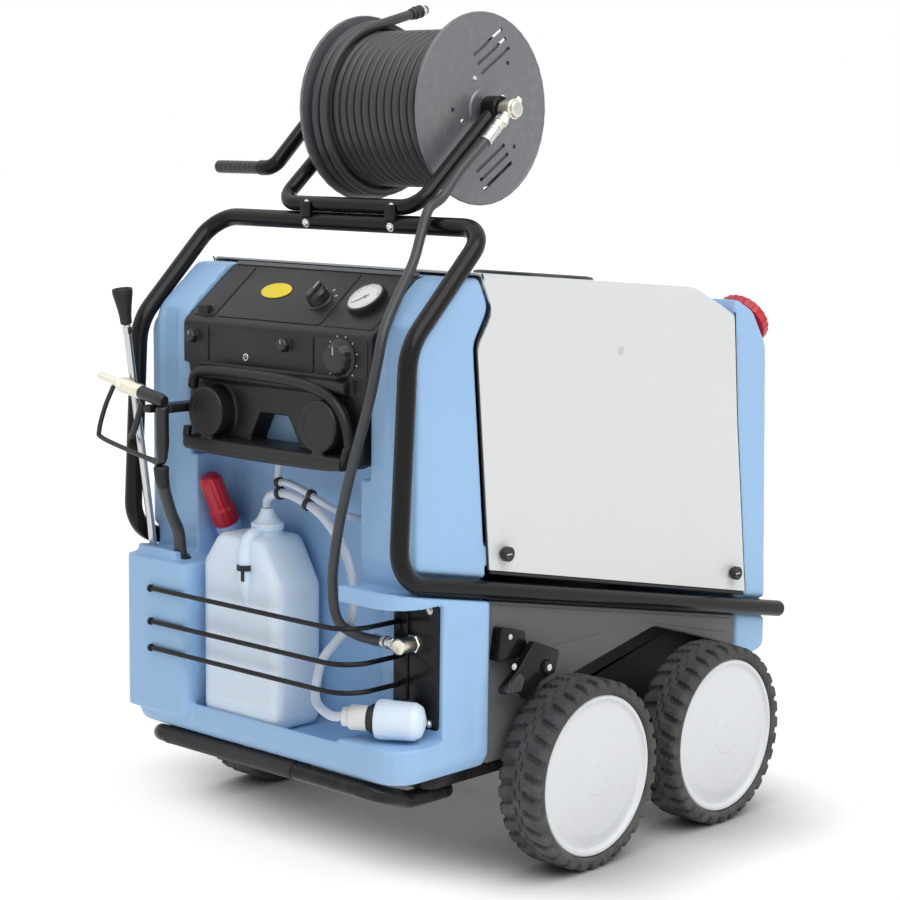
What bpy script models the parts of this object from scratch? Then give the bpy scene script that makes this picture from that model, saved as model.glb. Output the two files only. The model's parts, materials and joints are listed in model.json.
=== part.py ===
"""Hot-water pressure washer: a four-wheeled machine with a hose reel on its handle bow.

Units are metres, +Z is up. The operator stands at -Y, where the control console and the
canister pocket are. +X is the side with the brake pedal. Positions below are measured from
the point on the ground midway between the axles; one empty carries every piece and moves
that frame, so that the finished machine is centred over the world origin.
"""
import math

import bmesh
import bpy
from mathutils import Matrix, Vector

# --- driving dimensions -------------------------------------------------------------
TOUCH = 0.0003              # gap between pieces that touch
RUNNING = 0.0005            # gap round pieces that turn

WIDTH_OVER_TYRES = 0.800
WHEELBASE = 0.346
TYRE_RADIUS = 0.153         # to the middle of a facet, so that the tyre stands on a flat
TYRE_WIDTH = 0.086
DISC_RADIUS = 0.131
AXLE_RADIUS = 0.010
HUB_RADIUS = 0.030

FRAME_TUBE = 0.0145         # tube radius of the handle frame
FRAME_HALF = 0.306          # centre line of the frame's side runs
FRAME_REAR = 0.450
FRAME_FRONT = -0.541
RUN_HEIGHT = 0.4016         # side run's height midway between the axles
RUN_SLOPE = -0.185          # rise of the side run for each metre towards the rear
SHOULDER = (-0.523, 0.850)  # where the front leg turns back to the bow
BOW = (-0.3525, 1.019)      # the bow's crossbar

TRAY_BOTTOM = 0.1635
TRAY_TOP = 0.1847
TRAY_HALF = 0.290
TRAY_FRONT = -0.455
TRAY_REAR = 0.375

BODY_BOTTOM = 0.185
LOWER_HALF = 0.318          # front body below the frame tube
WAIST_HALF = 0.2912         # front and rear bodies behind the frame tube
UPPER_HALF = 0.3035         # front and rear bodies above the frame tube
BUMPER_FRONT = -0.548
UPPER_FRONT = -0.500
FRONT_BODY_REAR = -0.335
REAR_BODY_FRONT = 0.3075
REAR_BODY_REAR = 0.415
BODY_TOP = 0.945

HOOD_HALF = 0.306
HOOD_SHEET = 0.003
HOOD_FRONT = -0.338
HOOD_REAR = 0.304

SIDE_PANEL_OUT = 0.298
SIDE_PANEL_THICK = 0.012

POCKET_LEFT = -0.190
POCKET_RIGHT = 0.186
POCKET_BACK = -0.430
POCKET_FLOOR = 0.222
POCKET_TOP = 0.665
FITTINGS_BACK = -0.450
FITTINGS_FLOOR = 0.245
FITTINGS_TOP = 0.458
HOLSTER_LEFT = -0.305
HOLSTER_RIGHT = -0.150
HOLSTER_FRONT = -0.562
HOLSTER_TOP = 0.470
HOLSTER_BOTTOM = 0.215

CONSOLE_HALF = 0.215
CONSOLE_FRONT = -0.507
CONSOLE_SILL = (-0.507, 0.858)
CONSOLE_CREST = (-0.392, 0.950)
CONSOLE_UNDER = 0.790

CANISTER_WIDTH = 0.178
CANISTER_DEPTH = 0.100
CANISTER_HEIGHT = 0.305
CANISTER_FRONT = -0.540
CANISTER_X = -0.045
NECK_RADIUS = 0.024

REEL_AXIS = (-0.174, 1.200)
FLANGE_RADIUS = 0.154
FLANGE_SHEET = 0.004
FLANGE_X = 0.1315           # outer face of each flange
DRUM_RADIUS = 0.1098
SPINDLE_RADIUS = 0.011
HOSE_DIAMETER = 0.0162
HOSE_PITCH = 0.0169
WIND_RADIUS = 0.1200        # centre line of the lower visible layer
WIND_TURNS = 14
TOP_TURNS = 1.85
LOOP_POINTS = 24
HOSE_TAIL = 0.092
TAIL_TURN = 0.035           # how far before the top the hose leaves the winding, in turns
TAIL_SLOPE = 0.27
SLOT_LEAN = math.radians(33)
SLOT_HALF_LENGTH = 0.040
SLOT_HALF_WIDTH = 0.003
SLOT_PITCH = 0.017
SLOT_GROUPS = ((0.020, 0.092), (0.030, -0.092))     # middle of each group, from the axis
FLANGE_HOLES = ((0.095, 0.90), (0.071, 3.18), (0.098, -0.65))   # distance and turn of each

STAND_TUBE = 0.0125
STAND_NEAR = 0.158
STAND_FAR = -0.150
CRANK_TUBE = 0.0130
CRANK_X = -0.247
CRANK_THROW = 0.145
CRANK_ANGLE = math.radians(43.6)    # the crank hangs forward and down at rest
GRIP_RADIUS = 0.0110
GRIP_LENGTH = 0.105

FEED_RADIUS = 0.0080
SUCTION_RADIUS = 0.0075
GUARD_ROD = 0.0040
GUARD_HEIGHTS = (0.421, 0.366, 0.322)

LANCE_RADIUS = 0.0065
LANCE_FOOT = (-0.277, -0.519)
LANCE_HEAD = (-0.2755, -0.575, 0.850)
GUN_Y = -0.583
GUN_RADIUS = 0.0130

FOOT_BAR_TUBE = 0.0140
FOOT_BAR_HALF = 0.262
FOOT_BAR_FRONT = -0.535
FOOT_BAR_LIFT = 0.172

BRAKE_X = 0.322
BRAKE_THICK = 0.020
BRAKE_PIVOT = (-0.232, 0.330)

WHEEL_ROUND = 28            # facets of a wheel, a multiple of four
ROUND = 24                  # facets of a large round piece
SMALL_ROUND = 16            # facets of a small round piece

NOZZLE_LENGTH = 0.058
NOZZLE_RADIUS = 0.0165
LANCE_LEAN = math.atan2(LANCE_FOOT[1] - LANCE_HEAD[1], LANCE_HEAD[2] - HOLSTER_TOP)
FRONT_MOST = LANCE_HEAD[1] - NOZZLE_LENGTH * math.sin(LANCE_LEAN) - NOZZLE_RADIUS * math.cos(LANCE_LEAN)
REAR_MOST = FRAME_REAR + FRAME_TUBE * math.sin(math.atan(-RUN_SLOPE))
SHIFT_Y = -(FRONT_MOST + REAR_MOST) / 2


# --- collections, materials and placing ----------------------------------------------
def clear_scene():
    for obj in list(bpy.data.objects):
        bpy.data.objects.remove(obj, do_unlink=True)


def new_collection(name):
    group = bpy.data.collections.new(name)
    bpy.context.scene.collection.children.link(group)
    return group


def material(name, colour, roughness, metallic=0.0):
    mat = bpy.data.materials.new(name)
    mat.use_nodes = True
    shader = mat.node_tree.nodes["Principled BSDF"]
    shader.inputs["Base Color"].default_value = (*colour, 1.0)
    shader.inputs["Roughness"].default_value = roughness
    shader.inputs["Metallic"].default_value = metallic
    return mat


clear_scene()
PARTS = new_collection("pressure_washer")
CUTTERS = new_collection("cutters")
ORIGIN = bpy.data.objects.new("axle_middle", None)
ORIGIN.location = (0.0, SHIFT_Y, 0.0)
PARTS.objects.link(ORIGIN)

BLUE = material("blue_polyethylene", (0.30, 0.52, 0.80), 0.45)
WHITE = material("painted_sheet", (0.80, 0.80, 0.81), 0.35)
PANEL_GREY = material("dark_panel", (0.10, 0.10, 0.10), 0.55)
BLACK = material("black_coated_steel", (0.02, 0.02, 0.02), 0.40)
CONSOLE_GREY = material("console_plastic", (0.06, 0.06, 0.06), 0.50)
RUBBER = material("rubber", (0.03, 0.03, 0.03), 0.80)
DISC_WHITE = material("wheel_disc_plastic", (0.72, 0.72, 0.74), 0.45)
STEEL = material("bright_steel", (0.60, 0.60, 0.60), 0.30, 1.0)
BRASS = material("brass", (0.60, 0.48, 0.25), 0.35, 1.0)
RED = material("red_plastic", (0.65, 0.02, 0.05), 0.40)
CLEAR = material("milky_plastic", (0.80, 0.84, 0.86), 0.35)
DIAL_WHITE = material("dial_white", (0.80, 0.80, 0.80), 0.40)
DRUM_GREY = material("reel_sheet", (0.12, 0.12, 0.13), 0.45)


def adopt(obj, mat, group=PARTS):
    """Links a new object, gives it its material and hangs it on the origin empty."""
    group.objects.link(obj)
    obj.data.materials.append(mat)
    obj.parent = ORIGIN
    return obj


def as_cutter(obj):
    for group in obj.users_collection:
        group.objects.unlink(obj)
    CUTTERS.objects.link(obj)
    obj.hide_render = True
    obj.display_type = "WIRE"
    return obj


def shade(obj):
    if obj.type == "MESH":
        obj.data.shade_smooth()
        obj.data.set_sharp_from_angle(angle=math.radians(35))
    return obj


def set_pivot(obj, point):
    """Moves the object's origin onto its joint's axis, its shape staying where it is."""
    move = Matrix.Translation(Vector(point))
    obj.data.transform(move.inverted() @ obj.matrix_basis)
    obj.matrix_basis = move
    return obj


AXIS_TURN = {
    "X": Matrix(((0, 0, 1), (1, 0, 0), (0, 1, 0))).to_4x4(),    # outline in (y, z)
    "Y": Matrix(((1, 0, 0), (0, 0, -1), (0, 1, 0))).to_4x4(),   # outline in (x, z)
    "Z": Matrix.Identity(4),                                    # outline in (x, y)
}


def frame_along(direction, centre):
    """A matrix whose local Z runs along the direction, from the centre."""
    turn = Vector(direction).normalized().to_track_quat("Z", "Y").to_matrix().to_4x4()
    return Matrix.Translation(Vector(centre)) @ turn


# --- shapes --------------------------------------------------------------------------
def box(name, low, high, mat):
    """A plain block between two corners."""
    bm = bmesh.new()
    bmesh.ops.create_cube(bm, size=1.0)
    size = [b - a for a, b in zip(low, high)]
    bmesh.ops.scale(bm, vec=size, verts=bm.verts)
    mesh = bpy.data.meshes.new(name)
    bm.to_mesh(mesh)
    bm.free()
    obj = bpy.data.objects.new(name, mesh)
    obj.location = [(a + b) / 2 for a, b in zip(low, high)]
    return adopt(obj, mat)


def arc_corner(before, corner, after, radius, steps):
    """The points of an arc that rounds one corner of a path or outline."""
    corner = Vector(corner)
    to_before = (Vector(before) - corner).normalized()
    to_after = (Vector(after) - corner).normalized()
    half = to_before.angle(to_after) / 2
    reach = radius / math.tan(half)
    middle = corner + (to_before + to_after).normalized() * (radius / math.sin(half))
    first = corner + to_before * reach - middle
    last = corner + to_after * reach - middle
    sweep = math.pi - 2 * half
    points = []
    for step in range(steps + 1):
        share = step / steps
        blend = first * math.sin((1 - share) * sweep) + last * math.sin(share * sweep)
        points.append(tuple(middle + blend / math.sin(sweep)))
    return points


def rounded_outline(corners, steps=4):
    """A closed outline: each corner is (a, b) or (a, b, radius)."""
    points = []
    count = len(corners)
    for index, corner in enumerate(corners):
        if len(corner) == 2:
            points.append(corner)
            continue
        before = (*corners[index - 1][:2], 0)
        after = (*corners[(index + 1) % count][:2], 0)
        arc = arc_corner(before, (*corner[:2], 0), after, corner[2], steps)
        points.extend(point[:2] for point in arc)
    return points


def rounded_path(points, radii, steps=5):
    """An open 3D path with its inner corners rounded to the given radii."""
    path = [tuple(points[0])]
    for before, corner, after, radius in zip(points, points[1:], points[2:], radii):
        path.extend(arc_corner(before, corner, after, radius, steps))
    path.append(tuple(points[-1]))
    return path


def circle(centre, radius, count):
    turn = 2 * math.pi / count
    return [(centre[0] + radius * math.cos(i * turn), centre[1] + radius * math.sin(i * turn))
            for i in range(count)]


def smooth_route(points, spacing):
    """Points a spacing apart on a smooth curve (Catmull-Rom) through the given points."""
    knots = [Vector(p) for p in points]
    knots = [2 * knots[0] - knots[1]] + knots + [2 * knots[-1] - knots[-2]]
    route = [knots[1]]
    for a, b, c, d in zip(knots, knots[1:], knots[2:], knots[3:]):
        steps = max(1, round((c - b).length / spacing))
        for step in range(1, steps + 1):
            t = step / steps
            route.append(0.5 * (2 * b + (c - a) * t + (2 * a - 5 * b + 4 * c - d) * t * t
                                + (3 * b - a - 3 * c + d) * t ** 3))
    return [tuple(point) for point in route]


def to_mesh(obj):
    """Swaps a curve or a piece with modifiers for its finished mesh, caps welded."""
    graph = bpy.context.evaluated_depsgraph_get()
    graph.update()
    mesh = bpy.data.meshes.new_from_object(obj.evaluated_get(graph))
    bm = bmesh.new()
    bm.from_mesh(mesh)
    bmesh.ops.remove_doubles(bm, verts=bm.verts, dist=0.00002)
    bm.to_mesh(mesh)
    bm.free()
    name = obj.name
    group = obj.users_collection[0]
    matrix = obj.matrix_basis.copy()
    bpy.data.objects.remove(obj, do_unlink=True)
    made = bpy.data.objects.new(name, mesh)
    made.matrix_basis = matrix
    made.parent = ORIGIN
    group.objects.link(made)
    return made


def plate(name, axis, outlines, low, high, mat, edge=0.0):
    """A flat piece: an outline, with any holes in it, thickened from low to high on an axis.

    With an edge, the rims on both flat sides are rounded to that radius.
    """
    curve = bpy.data.curves.new(name, "CURVE")
    curve.dimensions = "2D"
    curve.fill_mode = "BOTH"
    curve.extrude = (high - low) / 2 - edge
    curve.bevel_depth = edge
    curve.bevel_resolution = 1 if edge else 0
    curve.offset = -edge
    for outline in outlines:
        spline = curve.splines.new("POLY")
        spline.points.add(len(outline) - 1)
        for point, (a, b) in zip(spline.points, outline):
            point.co = (a, b, 0.0, 1.0)
        spline.use_cyclic_u = True
    obj = bpy.data.objects.new(name, curve)
    middle = (low + high) / 2
    along = {"X": (middle, 0, 0), "Y": (0, middle, 0), "Z": (0, 0, middle)}[axis]
    obj.matrix_basis = Matrix.Translation(along) @ AXIS_TURN[axis]
    return to_mesh(adopt(obj, mat))


def tube(name, points, radius, mat, resolution=2, factors=None, loop=False):
    """A round bar or hose along a path of points; factors vary its radius."""
    curve = bpy.data.curves.new(name, "CURVE")
    curve.dimensions = "3D"
    curve.bevel_depth = radius
    curve.bevel_resolution = resolution
    curve.use_fill_caps = not loop
    spline = curve.splines.new("POLY")
    spline.points.add(len(points) - 1)
    spline.use_cyclic_u = loop
    for index, point in enumerate(points):
        spline.points[index].co = (*point, 1.0)
        if factors:
            spline.points[index].radius = factors[index]
    return adopt(bpy.data.objects.new(name, curve), mat)


def turned(name, profile, centre, direction, mat, count=ROUND, ring=False, phase=0.0):
    """A lathe piece: (radius, height) points, run down the outer side, round a direction."""
    mesh = bpy.data.meshes.new(name)
    edges = [(i, i + 1) for i in range(len(profile) - 1)]
    if ring:
        edges.append((len(profile) - 1, 0))
    mesh.from_pydata([(r, 0.0, h) for r, h in profile], edges, [])
    obj = bpy.data.objects.new(name, mesh)
    screw = obj.modifiers.new("turn", "SCREW")
    screw.axis = "Z"
    screw.angle = 2 * math.pi
    screw.steps = count
    screw.render_steps = count
    screw.use_merge_vertices = True
    screw.merge_threshold = 0.00002
    obj.matrix_basis = frame_along(direction, centre) @ Matrix.Rotation(phase, 4, "Z")
    return adopt(obj, mat)


def rod(name, start, end, radius, mat, count=SMALL_ROUND):
    """A plain cylinder from one point to another."""
    length = (Vector(end) - Vector(start)).length
    profile = [(0, length), (radius, length), (radius, 0), (0, 0)]
    return turned(name, profile, start, Vector(end) - Vector(start), mat, count)


def boolean(obj, tool, operation):
    as_cutter(tool)
    modifier = obj.modifiers.new(f"{operation.lower()}_{tool.name}", "BOOLEAN")
    modifier.operation = operation
    modifier.solver = "EXACT"
    modifier.object = tool


def cut(obj, *tools):
    for tool in tools:
        boolean(obj, tool, "DIFFERENCE")
    return obj


def join(obj, *tools):
    for tool in tools:
        boolean(obj, tool, "UNION")
    return obj


# --- derived places --------------------------------------------------------------------
def run_height(y):
    """Height of the frame's side run at a place along the machine."""
    return RUN_HEIGHT + RUN_SLOPE * y


def above_run(y):
    return run_height(y) + FRAME_TUBE + 0.003


def below_run(y):
    return run_height(y) - FRAME_TUBE - 0.003


def hood_top(y):
    """Height of the hood's top, which falls a little towards the rear."""
    return 0.952 - 0.0785 * (y + 0.361)


CONSOLE_NORMAL = (0.0, -0.6247, 0.7809)


def on_console(x, share):
    """A point on the console's sloping face, share 0 at its sill and 1 at its crest."""
    y = CONSOLE_SILL[0] + share * (CONSOLE_CREST[0] - CONSOLE_SILL[0])
    z = CONSOLE_SILL[1] + share * (CONSOLE_CREST[1] - CONSOLE_SILL[1])
    return (x, y, z)


def lift(point, direction, distance):
    return tuple(p + d * distance for p, d in zip(point, direction))


# --- chassis, wheels and frame ----------------------------------------------------------
def make_chassis():
    corners = [(-TRAY_HALF, TRAY_FRONT, 0.03), (TRAY_HALF, TRAY_FRONT, 0.03),
               (TRAY_HALF, TRAY_REAR, 0.02), (-TRAY_HALF, TRAY_REAR, 0.02)]
    plate("chassis_tray", "Z", [rounded_outline(corners)], TRAY_BOTTOM, TRAY_TOP, BLACK)
    track = WIDTH_OVER_TYRES - TYRE_WIDTH
    reach = track / 2 + 0.028 - TOUCH
    for name, y in (("front_axle", -WHEELBASE / 2), ("rear_axle", WHEELBASE / 2)):
        rod(name, (-reach, y, TYRE_RADIUS), (reach, y, TYRE_RADIUS), AXLE_RADIUS, STEEL)


def make_wheel(name, side, y):
    """A tyre on a dished disc whose blind hub runs on the axle; side is +1 or -1."""
    centre = (side * (WIDTH_OVER_TYRES - TYRE_WIDTH) / 2, y, TYRE_RADIUS)
    half = TYRE_WIDTH / 2
    corner = TYRE_RADIUS / math.cos(math.pi / WHEEL_ROUND)
    seat = DISC_RADIUS + TOUCH
    tyre = [(seat, half - 0.004), (corner - 0.012, half), (corner, half - 0.012),
            (corner, 0.012 - half), (corner - 0.012, -half), (seat, 0.004 - half)]
    phase = math.pi / WHEEL_ROUND
    direction = (side, 0, 0)
    turned(f"tyre_{name}", tyre, centre, direction, RUBBER, WHEEL_ROUND, True, phase)
    bore = AXLE_RADIUS + RUNNING
    disc = [(0, 0.040), (0.118, 0.038), (DISC_RADIUS, 0.030), (DISC_RADIUS, -0.036),
            (DISC_RADIUS - 0.007, -0.036), (DISC_RADIUS - 0.007, 0.022),
            (HUB_RADIUS, 0.030), (HUB_RADIUS, -0.040), (bore, -0.040), (bore, 0.028), (0, 0.028)]
    turned(f"wheel_disc_{name}", disc, centre, direction, DISC_WHITE, WHEEL_ROUND, phase=phase)


def make_frame():
    knee = run_height(FRAME_FRONT)
    right = [(FRAME_HALF, FRAME_REAR, run_height(FRAME_REAR)), (FRAME_HALF, FRAME_FRONT, knee),
             (FRAME_HALF, *SHOULDER), (FRAME_HALF, *BOW)]
    left = [(-x, y, z) for x, y, z in reversed(right)]
    radii = (0.060, 0.090, 0.050, 0.050, 0.090, 0.060)
    tube("handle_frame", rounded_path(right + left, radii), FRAME_TUBE, BLACK)

    rear = (-0.380, TRAY_BOTTOM - FOOT_BAR_TUBE - TOUCH)
    kink = (-0.470, TRAY_BOTTOM - FOOT_BAR_TUBE - TOUCH)
    front = (FOOT_BAR_FRONT, FOOT_BAR_LIFT)
    right = [(FOOT_BAR_HALF, *rear), (FOOT_BAR_HALF, *kink), (FOOT_BAR_HALF, *front)]
    left = [(-x, y, z) for x, y, z in reversed(right)]
    radii = (0.050, 0.035, 0.035, 0.050)
    tube("foot_bar", rounded_path(right + left, radii, 4), FOOT_BAR_TUBE, BLACK)


# --- bodies, hood and side panels --------------------------------------------------------
def hood_lug(name, side, y_range, z_range):
    """A lug of a body moulding behind the hood's side sheet, under one of its knobs."""
    outer = HOOD_HALF - HOOD_SHEET - TOUCH
    xs = sorted((side * 0.270, side * outer))
    return box(name, (xs[0], y_range[0], z_range[0]), (xs[1], y_range[1], z_range[1]), BLUE)


def make_front_body():
    """The blue front moulding: a bumper block below the frame tube, a waist behind it and a
    block above it, with the canister pocket, the fittings niche and the gun holster."""
    rim = 0.022
    plan = rounded_outline([
        (-LOWER_HALF, BUMPER_FRONT, 0.055), (LOWER_HALF, BUMPER_FRONT, 0.055),
        (LOWER_HALF, FRONT_BODY_REAR, 0.025), (-LOWER_HALF, FRONT_BODY_REAR, 0.025)], 5)
    body = plate("front_body", "Z", [plan], BODY_BOTTOM, 0.560, BLUE, rim)
    lid = [(-0.70, below_run(-0.70)), (-0.20, below_run(-0.20)), (-0.20, 0.70), (-0.70, 0.70)]
    cut(body, plate("above_bumper", "X", [lid], -0.40, 0.40, BLUE))
    seam = FRONT_BODY_REAR - 0.006
    join(body, box("waist", (-WAIST_HALF, UPPER_FRONT + 0.0015, 0.30),
                   (WAIST_HALF, seam - 0.002, 0.60), BLUE))
    rear_edge = [(seam, above_run(seam)), (-0.3755, 0.845, 0.030), (-0.342, 0.900, 0.030),
                 (-0.366, BODY_TOP)]
    upper = [(UPPER_FRONT, above_run(UPPER_FRONT), 0.008), *rear_edge,
             (-0.4030, BODY_TOP, 0.020), (UPPER_FRONT, 0.8480, 0.030)]
    join(body, plate("upper_block", "X", [rounded_outline(upper)], -UPPER_HALF, UPPER_HALF, BLUE,
                     0.006))
    face, roof = UPPER_FRONT + 0.0008, BODY_TOP - 0.0008
    inner = [(face, 0.580), (-0.399, 0.580), (-0.399, roof), (-0.412, roof, 0.030),
             (face, 0.872, 0.045)]
    join(body, plate("upper_waist", "X", [rounded_outline(inner)], -WAIST_HALF, WAIST_HALF, BLUE))
    for side in (-1, 1):
        join(body, hood_lug(f"front_lug_{side}", side, (-0.370, -0.290), (0.503, 0.533)))
    pocket = rounded_outline([
        (POCKET_LEFT, -0.70), (POCKET_RIGHT, -0.70), (POCKET_RIGHT, POCKET_BACK, 0.03),
        (POCKET_LEFT, POCKET_BACK, 0.03)], 3)
    cut(body, plate("pocket", "Z", [pocket], POCKET_FLOOR, POCKET_TOP, BLUE))
    holster = rounded_outline([
        (HOLSTER_LEFT, HOLSTER_FRONT, 0.020), (HOLSTER_RIGHT, HOLSTER_FRONT, 0.012),
        (HOLSTER_RIGHT, -0.40), (-0.240, -0.40), (HOLSTER_LEFT, -0.47)], 3)
    join(body, plate("holster", "Z", [holster], HOLSTER_BOTTOM, HOLSTER_TOP, BLUE))
    lip = box("pocket_lip", (-0.165, -0.5475, 0.20), (0.200, -0.5410, 0.240), BLUE)
    join(body, lip)
    niche = rounded_outline([
        (POCKET_RIGHT - 0.040, -0.70), (0.45, -0.70), (0.45, FITTINGS_BACK),
        (POCKET_RIGHT - 0.040, FITTINGS_BACK)], 3)
    cut(body, plate("niche", "Z", [niche], FITTINGS_FLOOR, FITTINGS_TOP, BLUE))
    lance_bore = lance_point(0.300)
    cut(body, rod("lance_bore", lance_bore, lance_point(0.600), LANCE_RADIUS + 0.0010, BLUE))
    cut(body, rod("hose_bore", gun_hose_point(0.380), gun_hose_point(0.520), 0.0125, BLUE))
    boss = rod("filler_boss", (FILLER_SEAT[0], -0.3895, 0.3815), FILLER_SEAT, 0.0220, BLUE)
    join(body, boss)
    clear = 0.0006
    opening = [(-0.70, CONSOLE_UNDER - clear), (-0.455 + clear, CONSOLE_UNDER - clear),
               (CONSOLE_CREST[0] + 0.010 + clear, CONSOLE_CREST[1] - 0.020),
               (CONSOLE_CREST[0] + 0.010 + clear, 1.20), (-0.70, 1.20)]
    cut(body, plate("console_pocket", "X", [opening], -CONSOLE_HALF - clear, CONSOLE_HALF + clear,
                    BLUE))
    low = box("console_lower_pocket", (-0.2065, -0.60, 0.640), (0.2065, -0.468, 0.800), BLUE)
    cut(body, low)
    return shade(body)


def make_rear_body():
    """The blue rear moulding that closes the machine behind the hood and side panels."""
    front = REAR_BODY_FRONT
    inside = front + 0.020
    foot = TRAY_TOP + TOUCH
    full = [(inside, foot), (TRAY_REAR - 0.004, foot), (TRAY_REAR - 0.004, 0.245),
            (REAR_BODY_REAR, 0.250, 0.015), (0.388, 0.800), (0.348, 0.860), (inside, 0.870)]
    above = [(0.3465, above_run(0.3465)), (0.411, above_run(0.411)), (0.392, 0.800, 0.030),
             (0.350, 0.862, 0.030), (0.303, 0.884), (0.2925, 0.866), (front, 0.674)]
    below = [(inside + 0.003, 0.235), (0.418, 0.252, 0.015), (0.4165, below_run(0.4165)),
             (inside + 0.003, below_run(inside))]
    body = plate("rear_body", "X", [rounded_outline(full)], -WAIST_HALF, WAIST_HALF, BLUE)
    join(body, plate("rear_upper", "X", [rounded_outline(above)], -UPPER_HALF, UPPER_HALF, BLUE,
                     0.006))
    join(body, plate("rear_lower", "X", [rounded_outline(below)],
                     -SIDE_PANEL_OUT, SIDE_PANEL_OUT, BLUE))
    for side in (-1, 1):
        join(body, hood_lug(f"rear_lug_{side}", side, (0.285, 0.360), (0.390, 0.420)))
    return shade(body)


def make_hood():
    """A white sheet hood over the top and both sides, with the flue hole in its top."""
    low_front, low_rear = above_run(HOOD_FRONT) + 0.014, above_run(0.342) + 0.010
    crown, bend, fall = 0.952, (0.185, hood_top(0.185)), (0.288, 0.862)
    outline = [(HOOD_FRONT, low_front), (0.342, low_rear), (HOOD_REAR, 0.674), fall, bend,
               (-0.361, crown), (-0.338, 0.900, 0.030), (-0.372, 0.845, 0.030)]
    hood = plate("hood", "X", [rounded_outline(outline)], -HOOD_HALF, HOOD_HALF, WHITE, 0.012)
    past = 0.10
    drop = (bend[1] - fall[1]) / (fall[0] - bend[0])
    inside = [(-0.361 - past, low_front - past), (0.342 + past, low_rear - past),
              (0.342 + past, fall[1] - drop * (0.054 + past) - HOOD_SHEET),
              (bend[0], bend[1] - HOOD_SHEET), (-0.361 - past, hood_top(-0.361 - past) - HOOD_SHEET)]
    inner_half = HOOD_HALF - HOOD_SHEET
    cut(hood, plate("hood_inside", "X", [inside], -inner_half, inner_half, WHITE, 0.009))
    cut(hood, rod("flue_hole", (0, 0.110, 0.70), (0, 0.110, 1.10), 0.085, WHITE, ROUND))
    shade(hood)
    normal = Vector((0, 0.0785, 1)).normalized()
    seat = Vector((0, 0.110, hood_top(0.110))) + normal * TOUCH
    ring = [(0.086, 0.006), (0.104, 0.006), (0.106, 0), (0.086, 0)]
    turned("exhaust_ring", ring, seat, normal, BLACK, ring=True)
    for side, label in ((1, "right"), (-1, "left")):
        for place, y, z in (("front", -0.308, 0.518), ("rear", 0.300, 0.405)):
            face = side * (HOOD_HALF + TOUCH)
            knob = [(0, 0.016), (0.009, 0.016), (0.012, 0.012), (0.012, 0.004), (0.008, 0), (0, 0)]
            turned(f"hood_knob_{place}_{label}", knob, (face, y, z), (side, 0, 0), BLACK,
                   SMALL_ROUND)


def make_side_panels():
    """Black panels below the frame tube, arched over the wheels."""
    front = FRONT_BODY_REAR + 0.004
    rear = REAR_BODY_FRONT + 0.018
    foot = TRAY_TOP + TOUCH
    corners = rounded_outline([
        (front, foot), (-0.250, foot), (-0.146, 0.290, 0.06), (0.095, 0.342, 0.05),
        (rear, 0.271), (rear, below_run(rear)), (front, below_run(front))], 5)
    for name, low in (("side_panel_right", SIDE_PANEL_OUT - SIDE_PANEL_THICK),
                      ("side_panel_left", -SIDE_PANEL_OUT)):
        panel = plate(name, "X", [corners], low, low + SIDE_PANEL_THICK, PANEL_GREY)
        if name.endswith("right"):
            stub = rod("brake_stub", (SIDE_PANEL_OUT - 0.004, *BRAKE_PIVOT),
                       (BRAKE_X + BRAKE_THICK, *BRAKE_PIVOT), 0.006, PANEL_GREY)
            join(panel, stub)
        shade(panel)


# --- console ------------------------------------------------------------------------------
def console_section(grow):
    """Side outline of the console's upper moulding."""
    sill_y, sill_z = CONSOLE_SILL
    crest_y, crest_z = CONSOLE_CREST
    return rounded_outline([
        (sill_y - grow, CONSOLE_UNDER - grow), (sill_y - grow, sill_z, 0.015),
        (crest_y, crest_z + grow, 0.010), (crest_y + 0.010 + grow, crest_z - 0.020),
        (-0.455 + grow, CONSOLE_UNDER - grow)])


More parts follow.
